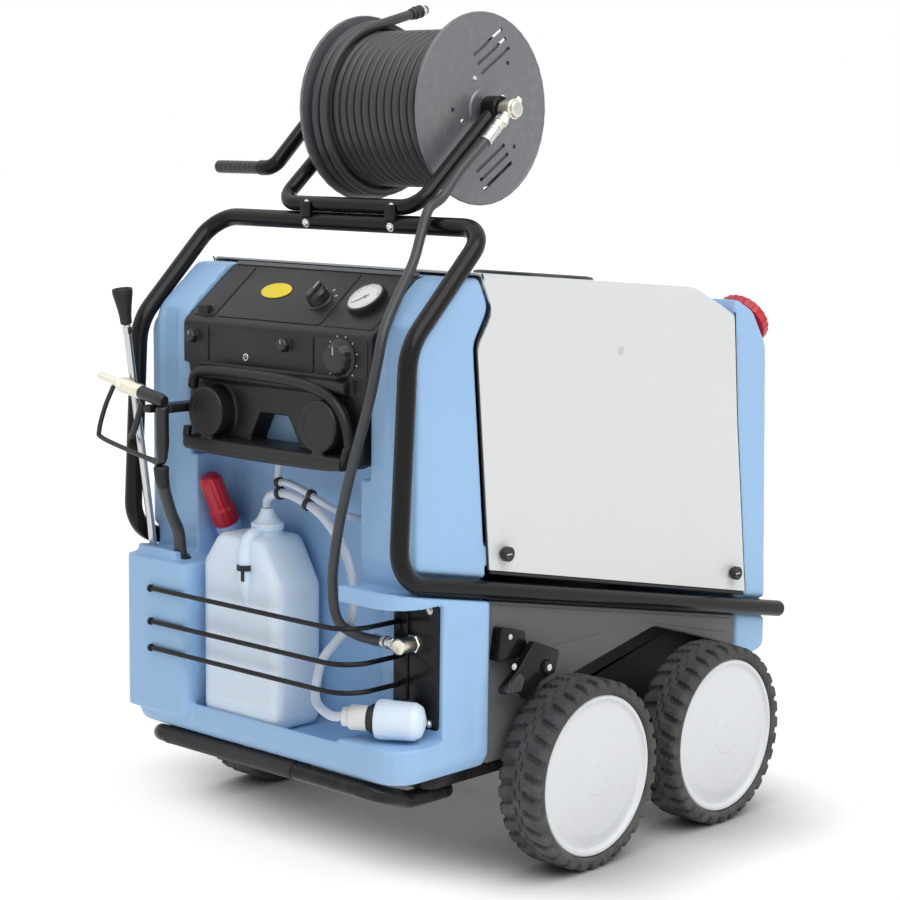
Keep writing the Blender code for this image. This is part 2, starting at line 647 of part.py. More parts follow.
def make_console():
    console = plate("console", "X", [console_section(0.0)], -CONSOLE_HALF, CONSOLE_HALF,
                    CONSOLE_GREY)
    window = [(-0.034, 0.722), (0.030, 0.722), (0.058, 0.676), (-0.058, 0.676)]
    edge = rounded_outline([(-0.192, 0.655, 0.02), (0.192, 0.655, 0.02), (0.205, 0.800),
                            (-0.205, 0.800)])
    back = plate("hose_rack", "Y", [edge, window], -0.505, -0.4685, CONSOLE_GREY)
    join(console, back)
    for side in (-1, 1):
        hub = rod(f"rack_hub_{side}", (side * 0.128, -0.490, 0.718), (side * 0.128, -0.537, 0.718),
                  0.040, CONSOLE_GREY, ROUND)
        join(console, hub)
    rim = rounded_outline([(-0.540, 0.6535, 0.008), (-0.480, 0.6535), (-0.480, 0.676),
                           (-0.540, 0.676, 0.008)], 2)
    join(console, plate("rack_rim", "X", [rim], -0.180, 0.180, CONSOLE_GREY))
    roll = rounded_outline([(-0.523, 0.766, 0.010), (-0.480, 0.766), (-0.480, 0.789),
                            (-0.523, 0.789, 0.010)], 2)
    join(console, plate("grip_roll", "X", [roll], -0.170, 0.170, CONSOLE_GREY))
    rest_top = gun_axis(-0.195)[2] - 0.0112 - TOUCH
    join(console, box("gun_rest_arm", (-0.214, -0.565, rest_top - 0.014),
                      (-0.180, -0.5015, rest_top), CONSOLE_GREY))
    join(console, box("gun_rest_tongue", (-0.213, -0.594, rest_top - 0.013),
                      (-0.195, -0.560, rest_top), CONSOLE_GREY))
    shade(console)

    knob = [(0, 0.022), (0.016, 0.022), (0.019, 0.018), (0.021, 0.0), (0, 0)]
    turned("main_switch", knob, lift(on_console(0.052, 0.45), CONSOLE_NORMAL, TOUCH),
           CONSOLE_NORMAL, BLACK, SMALL_ROUND)
    gauge = [(0, 0.010), (0.029, 0.010), (0.0315, 0.014), (0.033, 0.012), (0.033, 0), (0, 0)]
    turned("pressure_gauge", gauge, lift(on_console(0.150, 0.50), CONSOLE_NORMAL, TOUCH),
           CONSOLE_NORMAL, DIAL_WHITE)
    face = CONSOLE_FRONT - TOUCH
    heat = [(0, 0.020), (0.020, 0.020), (0.024, 0.016), (0.027, 0.004), (0.031, 0.0), (0, 0)]
    turned("temperature_knob", heat, (0.152, face, 0.822), (0, -1, 0), BLACK)
    dose = [(0, 0.014), (0.009, 0.014), (0.011, 0.011), (0.012, 0), (0, 0)]
    turned("dosing_knob", dose, (0.030, face, 0.834), (0, -1, 0), BLACK, SMALL_ROUND)
    turned("burner_switch", dose, (-0.186, face, 0.834), (0, -1, 0), BLACK, SMALL_ROUND)


# --- reel -------------------------------------------------------------------------------------
def around_reel(x, radius, angle):
    """A point round the reel's axis; angle 0 is the top, 90 degrees the front (-Y) side."""
    return (x, REEL_AXIS[0] - radius * math.sin(angle), REEL_AXIS[1] + radius * math.cos(angle))


def winding_route():
    """The hose's centre line: the lower visible layer from the near flange to the far one, a
    quarter turn in which it climbs, a short layer back, and a straight tail that leaves it just
    before the top."""
    edge = WIND_TURNS * HOSE_PITCH / 2
    climb = 0.25
    turns = WIND_TURNS + TOP_TURNS
    steps = round(turns * LOOP_POINTS)
    route = []
    for step in range(steps + 1):
        turn = turns * step / steps
        over = turn - WIND_TURNS                # turns made in the short upper layer
        rise, back = 0.0, 0.0
        if over > 0:
            rise = math.sin(min(over / climb, 1) * math.pi / 2)
            back = over if over > 1 else max(over - climb, 0) / (1 - climb)
        x = edge - min(turn, WIND_TURNS) * HOSE_PITCH + back * HOSE_PITCH
        angle = 2 * math.pi * (turns - turn + TAIL_TURN)
        route.append(around_reel(x, WIND_RADIUS + rise * HOSE_PITCH, angle))
    end = Vector(route[-1])
    rise = Vector((0.0, 1.0, TAIL_SLOPE)).normalized()
    for share in (0.15, 0.4, 0.7, 1.0):
        route.append(tuple(end + rise * HOSE_TAIL * share))
    return route


def least_self_gap(route):
    """Smallest clear distance between stretches of the hose more than half a turn apart."""
    least = 1.0
    skip = LOOP_POINTS // 2
    points = [Vector(p) for p in route]
    for index, point in enumerate(points):
        for other in points[index + skip:index + 3 * LOOP_POINTS]:
            least = min(least, (point - other).length)
    return least - HOSE_DIAMETER


def make_reel():
    inner = FLANGE_X - FLANGE_SHEET - TOUCH
    bore_gap = SPINDLE_RADIUS + RUNNING
    far_end = CRANK_X + 0.0145
    near_end = 0.1755
    axis = (0, *REEL_AXIS)
    profile = [(0, near_end), (SPINDLE_RADIUS, near_end), (SPINDLE_RADIUS, inner),
               (DRUM_RADIUS, inner), (DRUM_RADIUS, -inner), (SPINDLE_RADIUS, -inner),
               (SPINDLE_RADIUS, far_end), (0, far_end)]
    drum = turned("reel_drum", profile, axis, (1, 0, 0), DRUM_GREY, 40)
    route = winding_route()
    print("least gap of the wound hose to itself, mm:", round(1000 * least_self_gap(route), 2))
    first, second = Vector(route[0]), Vector(route[1])
    back = (first - second).normalized()
    radial = Vector((0, first.y - REEL_AXIS[0], first.z - REEL_AXIS[1])).normalized()
    port = box("hose_port", (-0.008, -0.009, -0.008), (0.008, 0.009, 0.018), DRUM_GREY)
    centre = first + back * (0.009 + 0.0008)
    side = back.cross(radial)
    port.matrix_basis = Matrix.Translation(centre) @ Matrix((
        (side.x, back.x, -radial.x, 0), (side.y, back.y, -radial.y, 0),
        (side.z, back.z, -radial.z, 0), (0, 0, 0, 1)))
    drum = to_mesh(drum)
    join(drum, port)
    shade(drum)

    slots = []
    for middle in SLOT_GROUPS:
        for offset in (-SLOT_PITCH, 0, SLOT_PITCH):
            slots.append(slot_outline(middle, offset))
    holes = [circle((r * math.cos(a), r * math.sin(a)), 0.004, 8) for r, a in FLANGE_HOLES]
    outline = circle((0, 0), FLANGE_RADIUS, 40)
    bore = circle((0, 0), bore_gap, SMALL_ROUND)
    for name, low in (("reel_flange_near", FLANGE_X - FLANGE_SHEET),
                      ("reel_flange_far", -FLANGE_X)):
        flange = plate(name, "X", [outline, bore] + slots + holes, low, low + FLANGE_SHEET,
                       DRUM_GREY)
        flange.location.y = REEL_AXIS[0]
        flange.location.z = REEL_AXIS[1]

    hose = tube("hose_winding", route, HOSE_DIAMETER / 2, RUBBER, 1)
    set_pivot(hose, axis)
    end, before = Vector(route[-1]), Vector(route[-2])
    along = (end - before).normalized()
    seat = end + along * TOUCH
    fitting = [(0, 0.038), (0.0075, 0.038), (0.0095, 0.034), (0.0095, 0.026), (0.011, 0.024),
               (0.011, 0.010), (0.0095, 0.008), (0.0095, 0), (0, 0)]
    set_pivot(to_mesh(turned("hose_end_fitting", fitting, seat, along, STEEL, SMALL_ROUND)), axis)

    hub = rod("crank_hub", (CRANK_X - 0.0135, *REEL_AXIS), (CRANK_X + 0.0140, *REEL_AXIS),
              0.019, BLACK)
    reach = (-math.cos(CRANK_ANGLE) * CRANK_THROW, -math.sin(CRANK_ANGLE) * CRANK_THROW)
    elbow = (CRANK_X, REEL_AXIS[0] + reach[0], REEL_AXIS[1] + reach[1])
    stop = (CRANK_X - 0.034, elbow[1], elbow[2])
    arm = to_mesh(tube("crank_arm", rounded_path([(CRANK_X, *REEL_AXIS), elbow, stop], (0.018,)),
                       CRANK_TUBE, BLACK))
    set_pivot(arm, axis)
    join(arm, hub)
    grip = [(0, GRIP_LENGTH), (0.009, GRIP_LENGTH), (GRIP_RADIUS, GRIP_LENGTH - 0.003),
            (GRIP_RADIUS, 0), (0, 0)]
    turned("crank_grip", grip, (stop[0] - RUNNING, stop[1], stop[2]), (-1, 0, 0), RUBBER,
           SMALL_ROUND)


def slot_outline(group, offset):
    """One slanted slot of a flange, a thin strip in the (y, z) plane of the flange."""
    along = Vector((math.cos(SLOT_LEAN), math.sin(SLOT_LEAN)))
    across = Vector((-along.y, along.x))
    middle = Vector(group) + across * offset
    corners = []
    for a, b in ((-1, -1), (1, -1), (1, 1), (-1, 1)):
        point = middle + along * SLOT_HALF_LENGTH * a + across * SLOT_HALF_WIDTH * b
        corners.append((point.x, point.y))
    return corners


def make_stand():
    """The reel's stand: a U of tube on the bow, with a bearing at each end of the spindle."""
    bar = (BOW[0], BOW[1] + FRAME_TUBE + STAND_TUBE + TOUCH)
    points = [(STAND_NEAR, *REEL_AXIS), (STAND_NEAR, *bar), (STAND_FAR, *bar),
              (STAND_FAR, *REEL_AXIS)]
    stand = to_mesh(tube("reel_stand", rounded_path(points, (0.035, 0.035)), STAND_TUBE, BLACK))
    for label, x in (("near", STAND_NEAR), ("far", STAND_FAR)):
        join(stand, rod(f"bearing_{label}", (x - 0.0145, *REEL_AXIS), (x + 0.0145, *REEL_AXIS),
                        0.021, BLACK))
    cut(stand, rod("spindle_bore", (-0.30, *REEL_AXIS), (0.30, *REEL_AXIS),
                   SPINDLE_RADIUS + RUNNING, BLACK))
    shade(stand)

    swivel_x = 0.1760 + TOUCH
    outlet = ARM_DIRECTION
    swivel = rod("hose_swivel", (swivel_x, *REEL_AXIS), (swivel_x + 0.030, *REEL_AXIS), 0.0165,
                 BRASS)
    root = (swivel_x + 0.015, *REEL_AXIS)
    swivel = to_mesh(swivel)
    join(swivel, rod("swivel_outlet", root, lift(root, outlet, 0.046), 0.0105, BRASS))
    shade(swivel)


def arm_direction():
    bar = Vector((0, BOW[0] - REEL_AXIS[0], BOW[1] + FRAME_TUBE + STAND_TUBE - REEL_AXIS[1]))
    return tuple(bar.normalized())


ARM_DIRECTION = arm_direction()


# --- hoses --------------------------------------------------------------------------------------
def make_feed_hose():
    """The hose from the pump's outlet, up the front of the machine to the reel's swivel."""
    root = (0.1760 + TOUCH + 0.015, *REEL_AXIS)
    start = lift(root, ARM_DIRECTION, 0.046 + TOUCH)
    second = lift(root, ARM_DIRECTION, 0.075)
    route = [start, second, (0.1925, -0.290, 1.105), (0.1935, -0.332, 1.064),
             (0.1965, -0.366, 1.046), (0.201, -0.386, 1.012), (0.210, -0.414, 0.966),
             (0.226, -0.462, 0.920),
             (0.242, -0.508, 0.872), (0.245, -0.526, 0.820), (0.232, -0.530, 0.760),
             (0.211, -0.534, 0.690), (0.189, -0.535, 0.620), (0.168, -0.532, 0.550),
             (0.156, -0.529, 0.480), (0.162, -0.524, 0.424), (0.184, -0.504, 0.400),
             (OUTLET_STUB[0] - TOUCH - 0.010, OUTLET_STUB[1], OUTLET_STUB[2]),
             (OUTLET_STUB[0] - TOUCH, OUTLET_STUB[1], OUTLET_STUB[2])]
    tube("feed_hose", smooth_route(route, 0.036), FEED_RADIUS, RUBBER, 2)


OUTLET_STUB = (0.228, -0.482, 0.392)


def make_fittings():
    """The black plate in the niche with the outlet nipple and the water filter."""
    face = FITTINGS_BACK - TOUCH
    front = face - 0.004
    box("coupling_plate", (0.214, front, 0.262), (0.308, face, 0.456), BLACK)
    elbow = (0.262, OUTLET_STUB[1], OUTLET_STUB[2])
    nipple = rod("outlet_nipple", (elbow[0], front - TOUCH, elbow[2]),
                 (elbow[0], OUTLET_STUB[1] - 0.014, elbow[2]), 0.0125, STEEL)
    nipple = to_mesh(nipple)
    join(nipple, rod("nipple_stub", elbow, OUTLET_STUB, 0.009, STEEL))
    shade(nipple)

    along = Vector((0.88, 0.475, 0)).normalized()
    neck = Vector((0.188, -0.536, 0.279))
    head = [(0, 0.054), (0.023, 0.054), (0.023, 0.046), (0.019, 0.044), (0.019, 0.012),
            (0.015, 0.010), (0.015, 0), (0, 0)]
    turned("filter_head", head, neck, along, BLACK, SMALL_ROUND)
    cup_seat = neck + along * (0.054 + RUNNING)
    cup = [(0, 0.074), (0.020, 0.072), (0.029, 0.062), (0.031, 0.010), (0.028, 0), (0, 0)]
    turned("filter_cup", cup, cup_seat, along, CLEAR, ROUND)


def make_canister():
    """A canister with sloping shoulders and a short neck, in its pocket."""
    half = CANISTER_WIDTH / 2
    floor = POCKET_FLOOR + 0.0006
    top = floor + CANISTER_HEIGHT
    left, right = CANISTER_X - half, CANISTER_X + half
    outline = rounded_outline([
        (left, floor, 0.020), (right, floor, 0.020), (right, top - 0.075, 0.030),
        (right - 0.045, top, 0.020), (left + 0.035, top, 0.020), (left, top - 0.048, 0.020)], 4)
    back = CANISTER_FRONT + CANISTER_DEPTH
    canister = plate("canister", "Y", [outline], CANISTER_FRONT, back, CLEAR, 0.014)
    neck_top = NECK_SEAT[2]
    join(canister, rod("canister_neck", (NECK_SEAT[0], NECK_SEAT[1], top - 0.010),
                       (NECK_SEAT[0], NECK_SEAT[1], neck_top - TOUCH), NECK_RADIUS, CLEAR))
    shade(canister)
    cap = [(0, 0.034), (0.010, 0.034), (0.012, 0.028), (0.022, 0.012), (0.026, 0.010),
           (0.026, 0), (0, 0)]
    turned("canister_cap", cap, NECK_SEAT, (0, 0, 1), BLACK, SMALL_ROUND)
    lid = NECK_SEAT[2] + 0.034
    along = Vector((0.88, 0.475, 0)).normalized()
    end = Vector((0.188, -0.536, 0.279)) - along * TOUCH
    route = [(NECK_SEAT[0], NECK_SEAT[1], lid + TOUCH), (NECK_SEAT[0], NECK_SEAT[1], lid + 0.012),
             (-0.012, -0.498, 0.594), (0.024, -0.500, 0.599), (0.066, -0.500, 0.590),
             (0.104, -0.500, 0.573), (0.141, -0.500, 0.541), (0.166, -0.500, 0.498),
             (0.173, -0.500, 0.452), (0.163, -0.499, 0.412), (0.134, -0.497, 0.382),
             (0.106, -0.500, 0.348), (0.104, -0.512, 0.313), (0.124, -0.531, 0.288),
             tuple(end - along * 0.020), tuple(end)]
    tube("suction_hose", smooth_route(route, 0.024), SUCTION_RADIUS, CLEAR, 2)


NECK_SEAT = (-0.030, -0.492, 0.5355)


def make_guard_rods():
    """Three steel rods across the canister, from the holster to the coupling plate."""
    front = HOLSTER_FRONT - TOUCH - GUARD_ROD
    plate_face = FITTINGS_BACK - 0.004 - 2 * TOUCH
    for label, z in zip(("top", "middle", "bottom"), GUARD_HEIGHTS):
        points = [(-0.232, front, z), (0.226, front, z), (0.226, plate_face, z)]
        tube(f"guard_rod_{label}", rounded_path(points, (0.048,)), GUARD_ROD, BLACK, 2)


FILLER_SEAT = (-0.160, -0.462, 0.528)
FILLER_DIRECTION = (0.0, -0.4434, 0.8963)


def make_caps():
    """The red filler caps: one on the neck above the canister, one on the rear corner."""
    cap = [(0, 0.088), (0.015, 0.088), (0.019, 0.082), (0.019, 0.030), (0.0225, 0.026),
           (0.0225, 0), (0, 0)]
    turned("filler_cap", cap, lift(FILLER_SEAT, FILLER_DIRECTION, TOUCH), FILLER_DIRECTION, RED,
           SMALL_ROUND)
    slope = Vector((0, 0.862 - 0.800, 0.392 - 0.350)).normalized()
    seat = Vector((0.252, (0.392 + 0.350) / 2, (0.800 + 0.862) / 2)) + slope * TOUCH
    lid = [(0, 0.030), (0.045, 0.030), (0.050, 0.025), (0.050, 0.008), (0.026, 0.006),
           (0.026, 0), (0, 0)]
    turned("rear_cap", lid, seat, slope, RED)


# --- gun and lance ----------------------------------------------------------------------------
def lance_point(z):
    """A point on the lance's axis at a height."""
    share = (z - HOLSTER_TOP) / (LANCE_HEAD[2] - HOLSTER_TOP)
    return (LANCE_FOOT[0] + share * (LANCE_HEAD[0] - LANCE_FOOT[0]),
            LANCE_FOOT[1] + share * (LANCE_HEAD[1] - LANCE_FOOT[1]), z)


def gun_hose_point(z):
    """A point on the straight stretch of the gun's hose, which leans as the lance does."""
    return (-0.200, -0.5255 - math.tan(LANCE_LEAN) * (z - HOLSTER_TOP), z)


def gun_axis(x):
    """A point on the gun's axis, which falls a little towards its rear end."""
    return (x, GUN_Y, 0.763 - 0.18 * (x + 0.335))


def make_lance():
    foot, head = lance_point(0.3004), lance_point(LANCE_HEAD[2])
    rod("spray_lance", foot, head, LANCE_RADIUS, STEEL, 12)
    along = (Vector(head) - Vector(foot)).normalized()
    horn = [(0, NOZZLE_LENGTH), (NOZZLE_RADIUS, NOZZLE_LENGTH), (NOZZLE_RADIUS, 0.050),
            (0.010, 0.014), (0.009, 0.0), (0, 0)]
    turned("lance_nozzle", horn, Vector(head) + along * TOUCH, along, RUBBER, SMALL_ROUND)


def make_gun():
    tip, heel = Vector(gun_axis(-0.335)), Vector(gun_axis(-0.172))
    length = (heel - tip).length
    body = [(0, length), (0.009, length), (0.011, length - 0.010), (0.011, 0.110),
            (GUN_RADIUS, 0.105), (GUN_RADIUS, 0.055), (0.009, 0.050), (0.0065, 0.045),
            (0.0065, 0), (0, 0)]
    turned("spray_gun", body, tip, heel - tip, BRASS, SMALL_ROUND)
    under = 0.0106 + TOUCH
    guard = [(-0.300, GUN_Y, gun_axis(-0.300)[2] - 0.0068 - TOUCH - 0.0021),
             (-0.322, GUN_Y, 0.712), (-0.338, GUN_Y, 0.672), (-0.330, GUN_Y, 0.660),
             (-0.260, GUN_Y, 0.646), (-0.200, GUN_Y, 0.636), (-0.181, GUN_Y, 0.638),
             (-0.178, GUN_Y, 0.655), (-0.178, GUN_Y, 0.700),
             (-0.178, GUN_Y, gun_axis(-0.178)[2] - under)]
    factors = [0.36, 0.36, 0.36, 0.36, 0.36, 0.40, 0.75, 1.0, 1.0, 1.0]
    tube("gun_handle", guard, 0.0110, BLACK, 2, factors)
    pivot = TRIGGER_PIVOT
    tip = (-0.262, GUN_Y, 0.664)
    trigger = tube("gun_trigger", [pivot, (-0.243, GUN_Y, 0.690), tip], 0.0045, BLACK, 2)
    set_pivot(trigger, pivot)
    start = (-0.181, GUN_Y, 0.6292)
    hose = [start, (-0.182, -0.581, 0.610), (-0.189, -0.567, 0.578), (-0.197, -0.549, 0.545),
            gun_hose_point(0.515), gun_hose_point(0.480), gun_hose_point(0.3806)]
    tube("gun_hose", smooth_route(hose, 0.020), 0.0100, RUBBER, 2)


TRIGGER_PIVOT = (-0.226, GUN_Y, 0.7300)


# --- brake and inner machinery --------------------------------------------------------------------
def make_brake():
    """The parking brake's pedal plate, which presses its lower edge on the front tyre."""
    low = BRAKE_X
    pivot_y, pivot_z = BRAKE_PIVOT
    outline = rounded_outline([
        (-0.345, 0.303, 0.006), (-0.290, 0.300), (-0.276, 0.281, 0.006), (-0.246, 0.309, 0.01),
        (-0.212, 0.318, 0.006), (-0.200, 0.352, 0.008), (-0.262, 0.376, 0.008),
        (-0.300, 0.336, 0.01)], 2)
    hole = circle(BRAKE_PIVOT, 0.006 + RUNNING, SMALL_ROUND)
    pedal = plate("brake_pedal", "X", [outline, hole], low, low + BRAKE_THICK, BLACK)
    set_pivot(pedal, (low, pivot_y, pivot_z))


def make_machinery():
    """What stands under the hood: the boiler with its burner, and the motor with its pump."""
    floor = TRAY_TOP + TOUCH
    boiler = [(0, 0.690), (0.070, 0.690), (0.070, 0.640), (0.150, 0.620), (0.160, 0.600),
              (0.160, 0.020), (0.150, 0.0), (0, 0)]
    boiler = turned("boiler", boiler, (0, 0.110, floor), (0, 0, 1), STEEL)
    join(boiler, rod("burner", (0, -0.150, 0.560), (0, 0, 0.560), 0.080, STEEL, ROUND))
    motor_z = floor + 0.090
    pump = rod("motor_pump", (-0.150, -0.180, motor_z), (0.090, -0.180, motor_z), 0.0895,
               PANEL_GREY, ROUND)
    join(pump, box("pump", (0.070, -0.240, floor), (0.210, -0.120, floor + 0.150), PANEL_GREY))


def main():
    make_chassis()
    for name, side, y in (("front_right", 1, -1), ("front_left", -1, -1),
                          ("rear_right", 1, 1), ("rear_left", -1, 1)):
        make_wheel(name, side, y * WHEELBASE / 2)
    make_frame()
    make_front_body()
    make_rear_body()
    make_hood()
    make_side_panels()
    make_console()
    make_reel()
    make_stand()
    make_feed_hose()
    make_fittings()
    make_canister()
    make_guard_rods()
    make_caps()
    make_lance()
    make_gun()
    make_brake()
    make_machinery()


main()
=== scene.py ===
"""Pressure washer: the pieces that show and their finishes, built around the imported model.

Shapes are written in millimetres, measured from the point on the ground midway between the axles.
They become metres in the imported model's frame when a piece is made.
"""
import json
import math
import bmesh
import bpy
import numpy as np
from mathutils import Matrix, Vector

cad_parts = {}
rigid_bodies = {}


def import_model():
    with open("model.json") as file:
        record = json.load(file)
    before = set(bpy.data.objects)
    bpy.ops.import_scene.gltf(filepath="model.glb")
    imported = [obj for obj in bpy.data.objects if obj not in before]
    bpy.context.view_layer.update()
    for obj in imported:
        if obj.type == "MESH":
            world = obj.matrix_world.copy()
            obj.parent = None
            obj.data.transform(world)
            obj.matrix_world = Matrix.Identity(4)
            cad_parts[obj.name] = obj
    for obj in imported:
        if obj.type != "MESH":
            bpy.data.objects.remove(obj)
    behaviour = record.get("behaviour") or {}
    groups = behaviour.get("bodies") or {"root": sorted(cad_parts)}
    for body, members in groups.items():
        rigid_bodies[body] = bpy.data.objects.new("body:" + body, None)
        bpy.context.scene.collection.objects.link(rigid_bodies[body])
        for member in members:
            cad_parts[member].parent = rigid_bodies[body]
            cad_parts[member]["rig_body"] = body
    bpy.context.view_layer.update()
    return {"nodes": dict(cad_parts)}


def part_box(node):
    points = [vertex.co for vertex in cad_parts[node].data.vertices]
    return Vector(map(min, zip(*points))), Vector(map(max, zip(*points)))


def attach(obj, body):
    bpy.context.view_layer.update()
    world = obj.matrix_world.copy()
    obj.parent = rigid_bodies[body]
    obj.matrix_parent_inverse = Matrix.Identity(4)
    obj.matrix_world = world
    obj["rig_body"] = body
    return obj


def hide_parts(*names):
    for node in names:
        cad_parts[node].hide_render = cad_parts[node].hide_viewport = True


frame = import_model()
NODES = frame["nodes"]
bl_info = {
    "name": "Pressure washer pieces",
    "version": (1, 0, 0),
    "blender": (4, 5, 0),
    "location": "View3D > Sidebar > Washer",
    "description": "Builds the visible pieces of a hot-water pressure washer",
    "category": "Add Mesh",
}


def axle_middle():
    """How far the model's axle middle lies from the frame's origin along the machine."""
    ends = [corner.y for name in ("front_axle", "rear_axle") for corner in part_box(name)]
    return sum(ends) / len(ends)


MM = 0.001
SHIFT = np.array((0.0, axle_middle(), 0.0))
TOUCH = 0.3

# places and directions shared by several pieces
FRAME_TUBE = 14.5
FRAME_HALF = 306
RUN_SLOPE = 0.185
BOW = (-352.5, 1019)
WHEEL_RADIUS = 153
WHEEL_X = 357
AXLE_Y = 173
HOOD_HALF = 306
HOOD_FALL = 0.0785
SLOPE_NORMAL = np.array((0.0, -0.6247, 0.7809))
SLOPE_UP = np.array((0.0, 0.7809, 0.6247))
SILL = np.array((0, -507, 858))
CREST = np.array((0, -392, 950))
CONSOLE_FACE = -507
REEL_AXIS = np.array((0, -174, 1200))
OUTLET_STUB = (228, -482, 392)
FILTER_NECK = np.array((188, -536, 279))
FILTER_WAY = np.array((0.88, 0.475, 0.0)) / math.hypot(0.88, 0.475)
X_AXIS = (1.0, 0.0, 0.0)
Y_AXIS = (0.0, 1.0, 0.0)
Z_AXIS = (0.0, 0.0, 1.0)
TO_FRONT = (0, -1, 0)
SIDES = ((1, "right"), (-1, "left"))
WHEELS = (("front_right", 1, -AXLE_Y), ("front_left", -1, -AXLE_Y),
          ("rear_right", 1, AXLE_Y), ("rear_left", -1, AXLE_Y))


# --- sizes and colours a user would change
def shade(red, green, blue):
    """A display colour from 0 to 255 as the linear colour that shaders take."""
    level = np.array((red, green, blue)) / 255
    return tuple(np.where(level < 0.04045, level / 12.92, ((level + 0.055) / 1.055) ** 2.4))


def colour_property(name, description, default):
    return bpy.props.FloatVectorProperty(
        name=name, description=description, subtype="COLOR", size=3, min=0, max=1,
        default=default)


def length_property(name, description, default):
    return bpy.props.FloatProperty(
        name=name, description=description, default=default, min=0, unit="LENGTH", precision=4)


class WasherColours(bpy.types.PropertyGroup):
    """Colours of the machine's main finishes."""
    body: colour_property("Body", "Moulded polyethylene bodies", shade(156, 194, 232))
    sheet: colour_property("Hood", "Painted sheet of the hood", shade(221, 221, 220))
    panel: colour_property("Side panel", "Grained lower side panels", shade(98, 98, 99))
    console: colour_property("Console", "Console moulding", shade(27, 27, 28))
    coating: colour_property("Coating", "Coated tubes and brackets", shade(15, 15, 16))
    rubber: colour_property("Tyre", "Tyre rubber", shade(60, 60, 61))
    hose: colour_property("Hose", "Pressure hose cover", shade(58, 58, 60))
    disc: colour_property("Wheel disc", "Wheel disc plastic", shade(224, 225, 227))
    reel: colour_property("Reel sheet", "Painted reel flanges and drum", shade(116, 116, 120))
    cap: colour_property("Filler caps", "Red plastic caps", shade(196, 24, 44))
    milk: colour_property("Canister", "Milky canister plastic", shade(225, 238, 254))


class WasherSizes(bpy.types.PropertyGroup):
    """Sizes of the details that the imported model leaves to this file."""
    tread_depth: length_property("Tread depth", "Depth of the grooves in a tyre", 0.0062)
    tread_blocks: bpy.props.IntProperty(
        name="Tread blocks", description="Blocks round each tyre", default=32, min=8)
    moulding_lattice: length_property(
        "Moulding lattice", "Spacing of the lattice that rounds the mouldings", 0.0034)
    sheet_metal: length_property("Hood sheet", "Thickness of the hood's sheet", 0.003)


# --- arrays
def unit(vectors):
    """The vectors at length 1."""
    vectors = np.asarray(vectors, float)
    return vectors / np.linalg.norm(vectors, axis=-1, keepdims=True)


def eased(value, low, high):
    """0 below low, 1 above high, and 3t^2 - 2t^3 between them."""
    share = np.clip((value - low) / (high - low), 0.0, 1.0)
    return share * share * (3 - 2 * share)


def rounded(corners, steps=6, closed=False):
    """A path or outline from rows of coordinates that end with the corner's radius, which a flat
    outline's row may leave out: each corner is the arc m + (f sin((1-s)w) + l sin(sw)) / sin w
    round its middle m, with s from 0 to 1."""
    corners = [np.array(row if len(row) > 2 else (*row, 0), float) for row in corners]
    path = []
    for index, corner in enumerate(corners):
        here, radius = corner[:-1], corner[-1]
        if radius == 0 or (not closed and index in (0, len(corners) - 1)):
            path.append(here[None])
            continue
        back = unit(corners[index - 1][:-1] - here)
        ahead = unit(corners[(index + 1) % len(corners)][:-1] - here)
        half = math.acos(float(np.clip(back @ ahead, -1, 1))) / 2
        middle = here + unit(back + ahead) * radius / math.sin(half)
        first = here + back * radius / math.tan(half) - middle
        last = here + ahead * radius / math.tan(half) - middle
        sweep = math.pi - 2 * half
        share = np.linspace(0, 1, steps + 1)[:, None]
        arc = first * np.sin((1 - share) * sweep) + last * np.sin(share * sweep)
        path.append(middle + arc / math.sin(sweep))
    return np.concatenate(path)


def spaced(path, gap):
    """The same path with points an even gap apart along it."""
    run = along(path)
    count = max(2, int(round(run[-1] / gap)) + 1)
    at = np.linspace(0, run[-1], count)
    return np.stack([np.interp(at, run, path[:, k]) for k in range(path.shape[1])], axis=1)


def flowing(points, gap):
    """A smooth (Catmull-Rom) curve through the points: on each span, half of
    2b + (c-a)t + (2a-5b+4c-d)t^2 + (3b-a-3c+d)t^3."""
    knots = np.asarray(points, float)
    knots = np.concatenate(([2 * knots[0] - knots[1]], knots, [2 * knots[-1] - knots[-2]]))
    a, b, c, d = (knots[k:len(knots) - 3 + k, None] for k in range(4))
    t = np.linspace(0, 1, 24, endpoint=False)[None, :, None]
    spans = 0.5 * (2 * b + (c - a) * t + (2 * a - 5 * b + 4 * c - d) * t ** 2
                   + (3 * b - a - 3 * c + d) * t ** 3)
    return spaced(np.concatenate((spans.reshape(-1, 3), knots[-2:-1])), gap)


def along(path):
    """The length of the path up to each of its points."""
    return np.concatenate(([0.0], np.cumsum(np.linalg.norm(np.diff(path, axis=0), axis=1))))


def nearest(path, spot):
    """The number of the path's point that is nearest to the spot."""
    return int(np.argmin(np.linalg.norm(path - spot, axis=1)))


def both_sides(right):
    """A tube's rows for the right side, followed by those of the left side on the way back."""
    return right + [(-x, y, z, r) for x, y, z, r in reversed(right)]


def path_length(path):
    return float(np.linalg.norm(np.diff(path, axis=0), axis=1).sum())


def square_axes(direction):
    """Two unit vectors square to a direction and to each other."""
    along = unit(direction)
    helper = np.array(Z_AXIS if abs(along[2]) < 0.9 else X_AXIS)
    across = unit(np.cross(helper, along))
    return across, np.cross(along, across), along


def grid_faces(rows, columns, wrap_rows=False, wrap_columns=False):
    """Corner numbers of the quads between the rows and columns of a grid of points."""
    row = np.arange(rows if wrap_rows else rows - 1)[:, None]
    column = np.arange(columns if wrap_columns else columns - 1)[None, :]
    below, beside = (row + 1) % rows, (column + 1) % columns
    quads = (row * columns + column, row * columns + beside,
             below * columns + beside, below * columns + column)
    return np.stack(np.broadcast_arrays(*quads), axis=-1).reshape(-1, 4)


